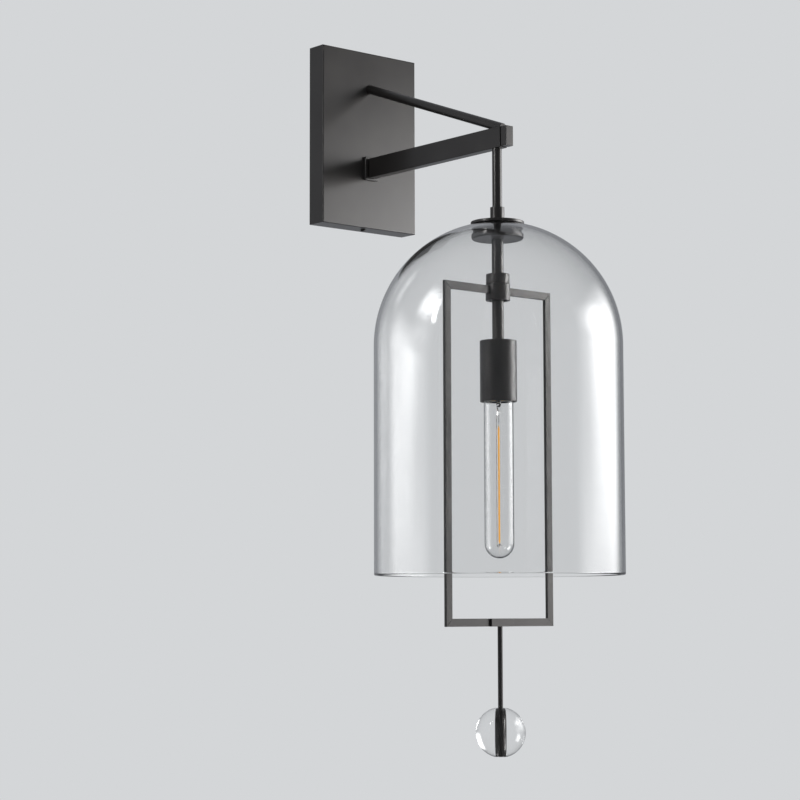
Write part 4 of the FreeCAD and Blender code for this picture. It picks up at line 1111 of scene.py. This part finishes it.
def softbox(name, place_m, target_m, width, height, power, edge):
    """A softbox that faces a point of the object, with its sizes in metres and its power in watts. edge is
    the share of each side that fades out."""
    data = bpy.data.lights.new(name, "AREA")
    data.shape = "RECTANGLE"
    data.size, data.size_y = width, height
    data.energy = power
    data.use_nodes = True
    add = adder(data.node_tree)
    across = add("ShaderNodeSeparateXYZ", _0=add("ShaderNodeNewGeometry").outputs["Parametric"])
    strength = add("ShaderNodeMath", {"operation": "MULTIPLY"}, _0=fading(add, across.outputs[0], edge),
                   _1=fading(add, across.outputs[1], edge))
    glow = add("ShaderNodeEmission", Strength=strength)
    add("ShaderNodeOutputLight", _0=glow)
    light = bpy.data.objects.new(name, data)
    bpy.context.scene.collection.objects.link(light)
    light.location = place_m
    light.rotation_euler = (Vector(target_m) - Vector(place_m)).to_track_quat("-Z", "Y").to_euler()


LEFT_OVER = {"operation": "SUBTRACT", "use_clamp": True}


def light_paths(add):
    """The light path, and how much its ray counts as seen directly or through glass, and as mirrored."""
    path = add("ShaderNodeLightPath")
    scattered = add("ShaderNodeMath", {"operation": "MINIMUM"}, _0=path.outputs["Diffuse Depth"], _1=1.0)
    mirrored = add("ShaderNodeMath", LEFT_OVER, _0=path.outputs["Glossy Depth"], _1=scattered)
    open_path = add("ShaderNodeMath", {"operation": "MAXIMUM"}, _0=path.outputs["Is Camera Ray"],
                    _1=path.outputs["Is Transmission Ray"])
    once = add("ShaderNodeMath", LEFT_OVER, _0=open_path, _1=path.outputs["Glossy Depth"])
    seen = add("ShaderNodeMath", LEFT_OVER, _0=once, _1=scattered)
    return path, seen, mirrored


def floor():
    """A pale matt floor that keeps the shadow and fades into the background far away. Metal and glass
    mirror a dim floor that fades into the room."""
    bpy.ops.object.select_all(action="DESELECT")
    bpy.ops.mesh.primitive_circle_add(vertices=96, radius=FLOOR_RADIUS, fill_type="NGON",
                                      location=(0, 0, FLOOR_LEVEL))
    paper = bpy.context.object
    paper.name = "studio_floor"
    material, add, where = new_material("matt_pale_paper")
    flat = add("ShaderNodeVectorMath", {"operation": "MULTIPLY"}, _0=where, _1=(1, 1, 0))
    away = add("ShaderNodeVectorMath", {"operation": "LENGTH"}, _0=flat)
    far = add("ShaderNodeMapRange", {"interpolation_type": "SMOOTHSTEP"}, Value=away.outputs["Value"],
              From_Min=FADE_START, From_Max=FADE_END)
    path, seen, mirrored = light_paths(add)
    through = add("ShaderNodeMath", {"operation": "MULTIPLY"}, _0=path.outputs["Is Transmission Ray"],
                  _1=seen)
    share = add("ShaderNodeMath", {"operation": "MAXIMUM"}, _0=far, _1=through)
    lit = add("ShaderNodeBsdfPrincipled", Base_Color=linear(BACKGROUND), Roughness=0.9)
    pale = add("ShaderNodeEmission", Color=linear(BACKGROUND), Strength=1.0)
    dim = add("ShaderNodeEmission", Color=linear(DIM_FLOOR), Strength=1.0)
    beyond = add("ShaderNodeBsdfTransparent")
    direct = add("ShaderNodeMixShader", _0=share, _1=lit, _2=pale)
    image = add("ShaderNodeMixShader", _0=far, _1=dim, _2=beyond)
    whole = add("ShaderNodeMixShader", _0=mirrored, _1=direct, _2=image)
    add("ShaderNodeOutputMaterial", Surface=whole)
    paper.data.materials.append(material)


def world():
    """A pale background for the camera, also through glass. Metal and glass mirror a dimmer room that is
    lighter on the wall's side, as in the photograph, and everything else gets a plain even light."""
    pale_world = bpy.data.worlds.new("pale_world")
    bpy.context.scene.world = pale_world
    pale_world.use_nodes = True
    add = adder(pale_world.node_tree)
    seen, mirrored = light_paths(add)[1:]
    even = add("ShaderNodeBackground", Color=linear("#ffffff"), Strength=EVEN_LIGHT)
    towards = add("ShaderNodeSeparateXYZ", _0=add("ShaderNodeTexCoord").outputs["Generated"])
    height = add("ShaderNodeMapRange", Value=towards.outputs["Y"], From_Min=-1.0, From_Max=1.0)
    room = add("ShaderNodeValToRGB", _0=height, stops=[(0.45, DIM_ROOM), (0.85, WALL_SIDE)])
    dim = add("ShaderNodeBackground", Color=room, Strength=1.0)
    pale = add("ShaderNodeBackground", Color=linear(BACKGROUND), Strength=1.0)
    unseen = add("ShaderNodeMixShader", _0=mirrored, _1=even, _2=dim)
    whole = add("ShaderNodeMixShader", _0=seen, _1=unseen, _2=pale)
    add("ShaderNodeOutputWorld", Surface=whole)


def studio():
    """The tall softbox on the right draws the upright streaks on the bell, and the one low on the right
    the oval glint in its dome. The soft panels in front brighten the canopy and the frame, and the narrow
    strip on the left draws the thin line down the stem."""
    floor()
    world()
    stem = STEM_Y * MM
    # Each lamp has its name, its place, the point it faces, its width, height, power and fading edge.
    for lamp in (
            ("right_softbox", (1.42, -0.72, -0.04), (0, stem, -0.28), 1.6, 1.45, 27, 0.38),
            ("low_right_lamp", (0.91, -1.00, -1.00), (0, -0.12, -0.19), 0.78, 0.78, 17, 0.42),
            ("canopy_panel", (0.97, -0.93, 0.05), (0, 0, -0.02), 1.1, 0.7, 12.5, 0.5),
            ("frame_panel", (0.96, -1.20, -0.45), (0, stem, -0.40), 0.9, 1.0, 5.5, 0.5),
            ("left_strip", (-0.95, -0.04, 0.17), (0, stem, -0.08), 0.10, 0.40, 2.6, 0.3)):
        softbox(*lamp)
    bpy.context.scene.view_settings.view_transform = "Standard"


main()
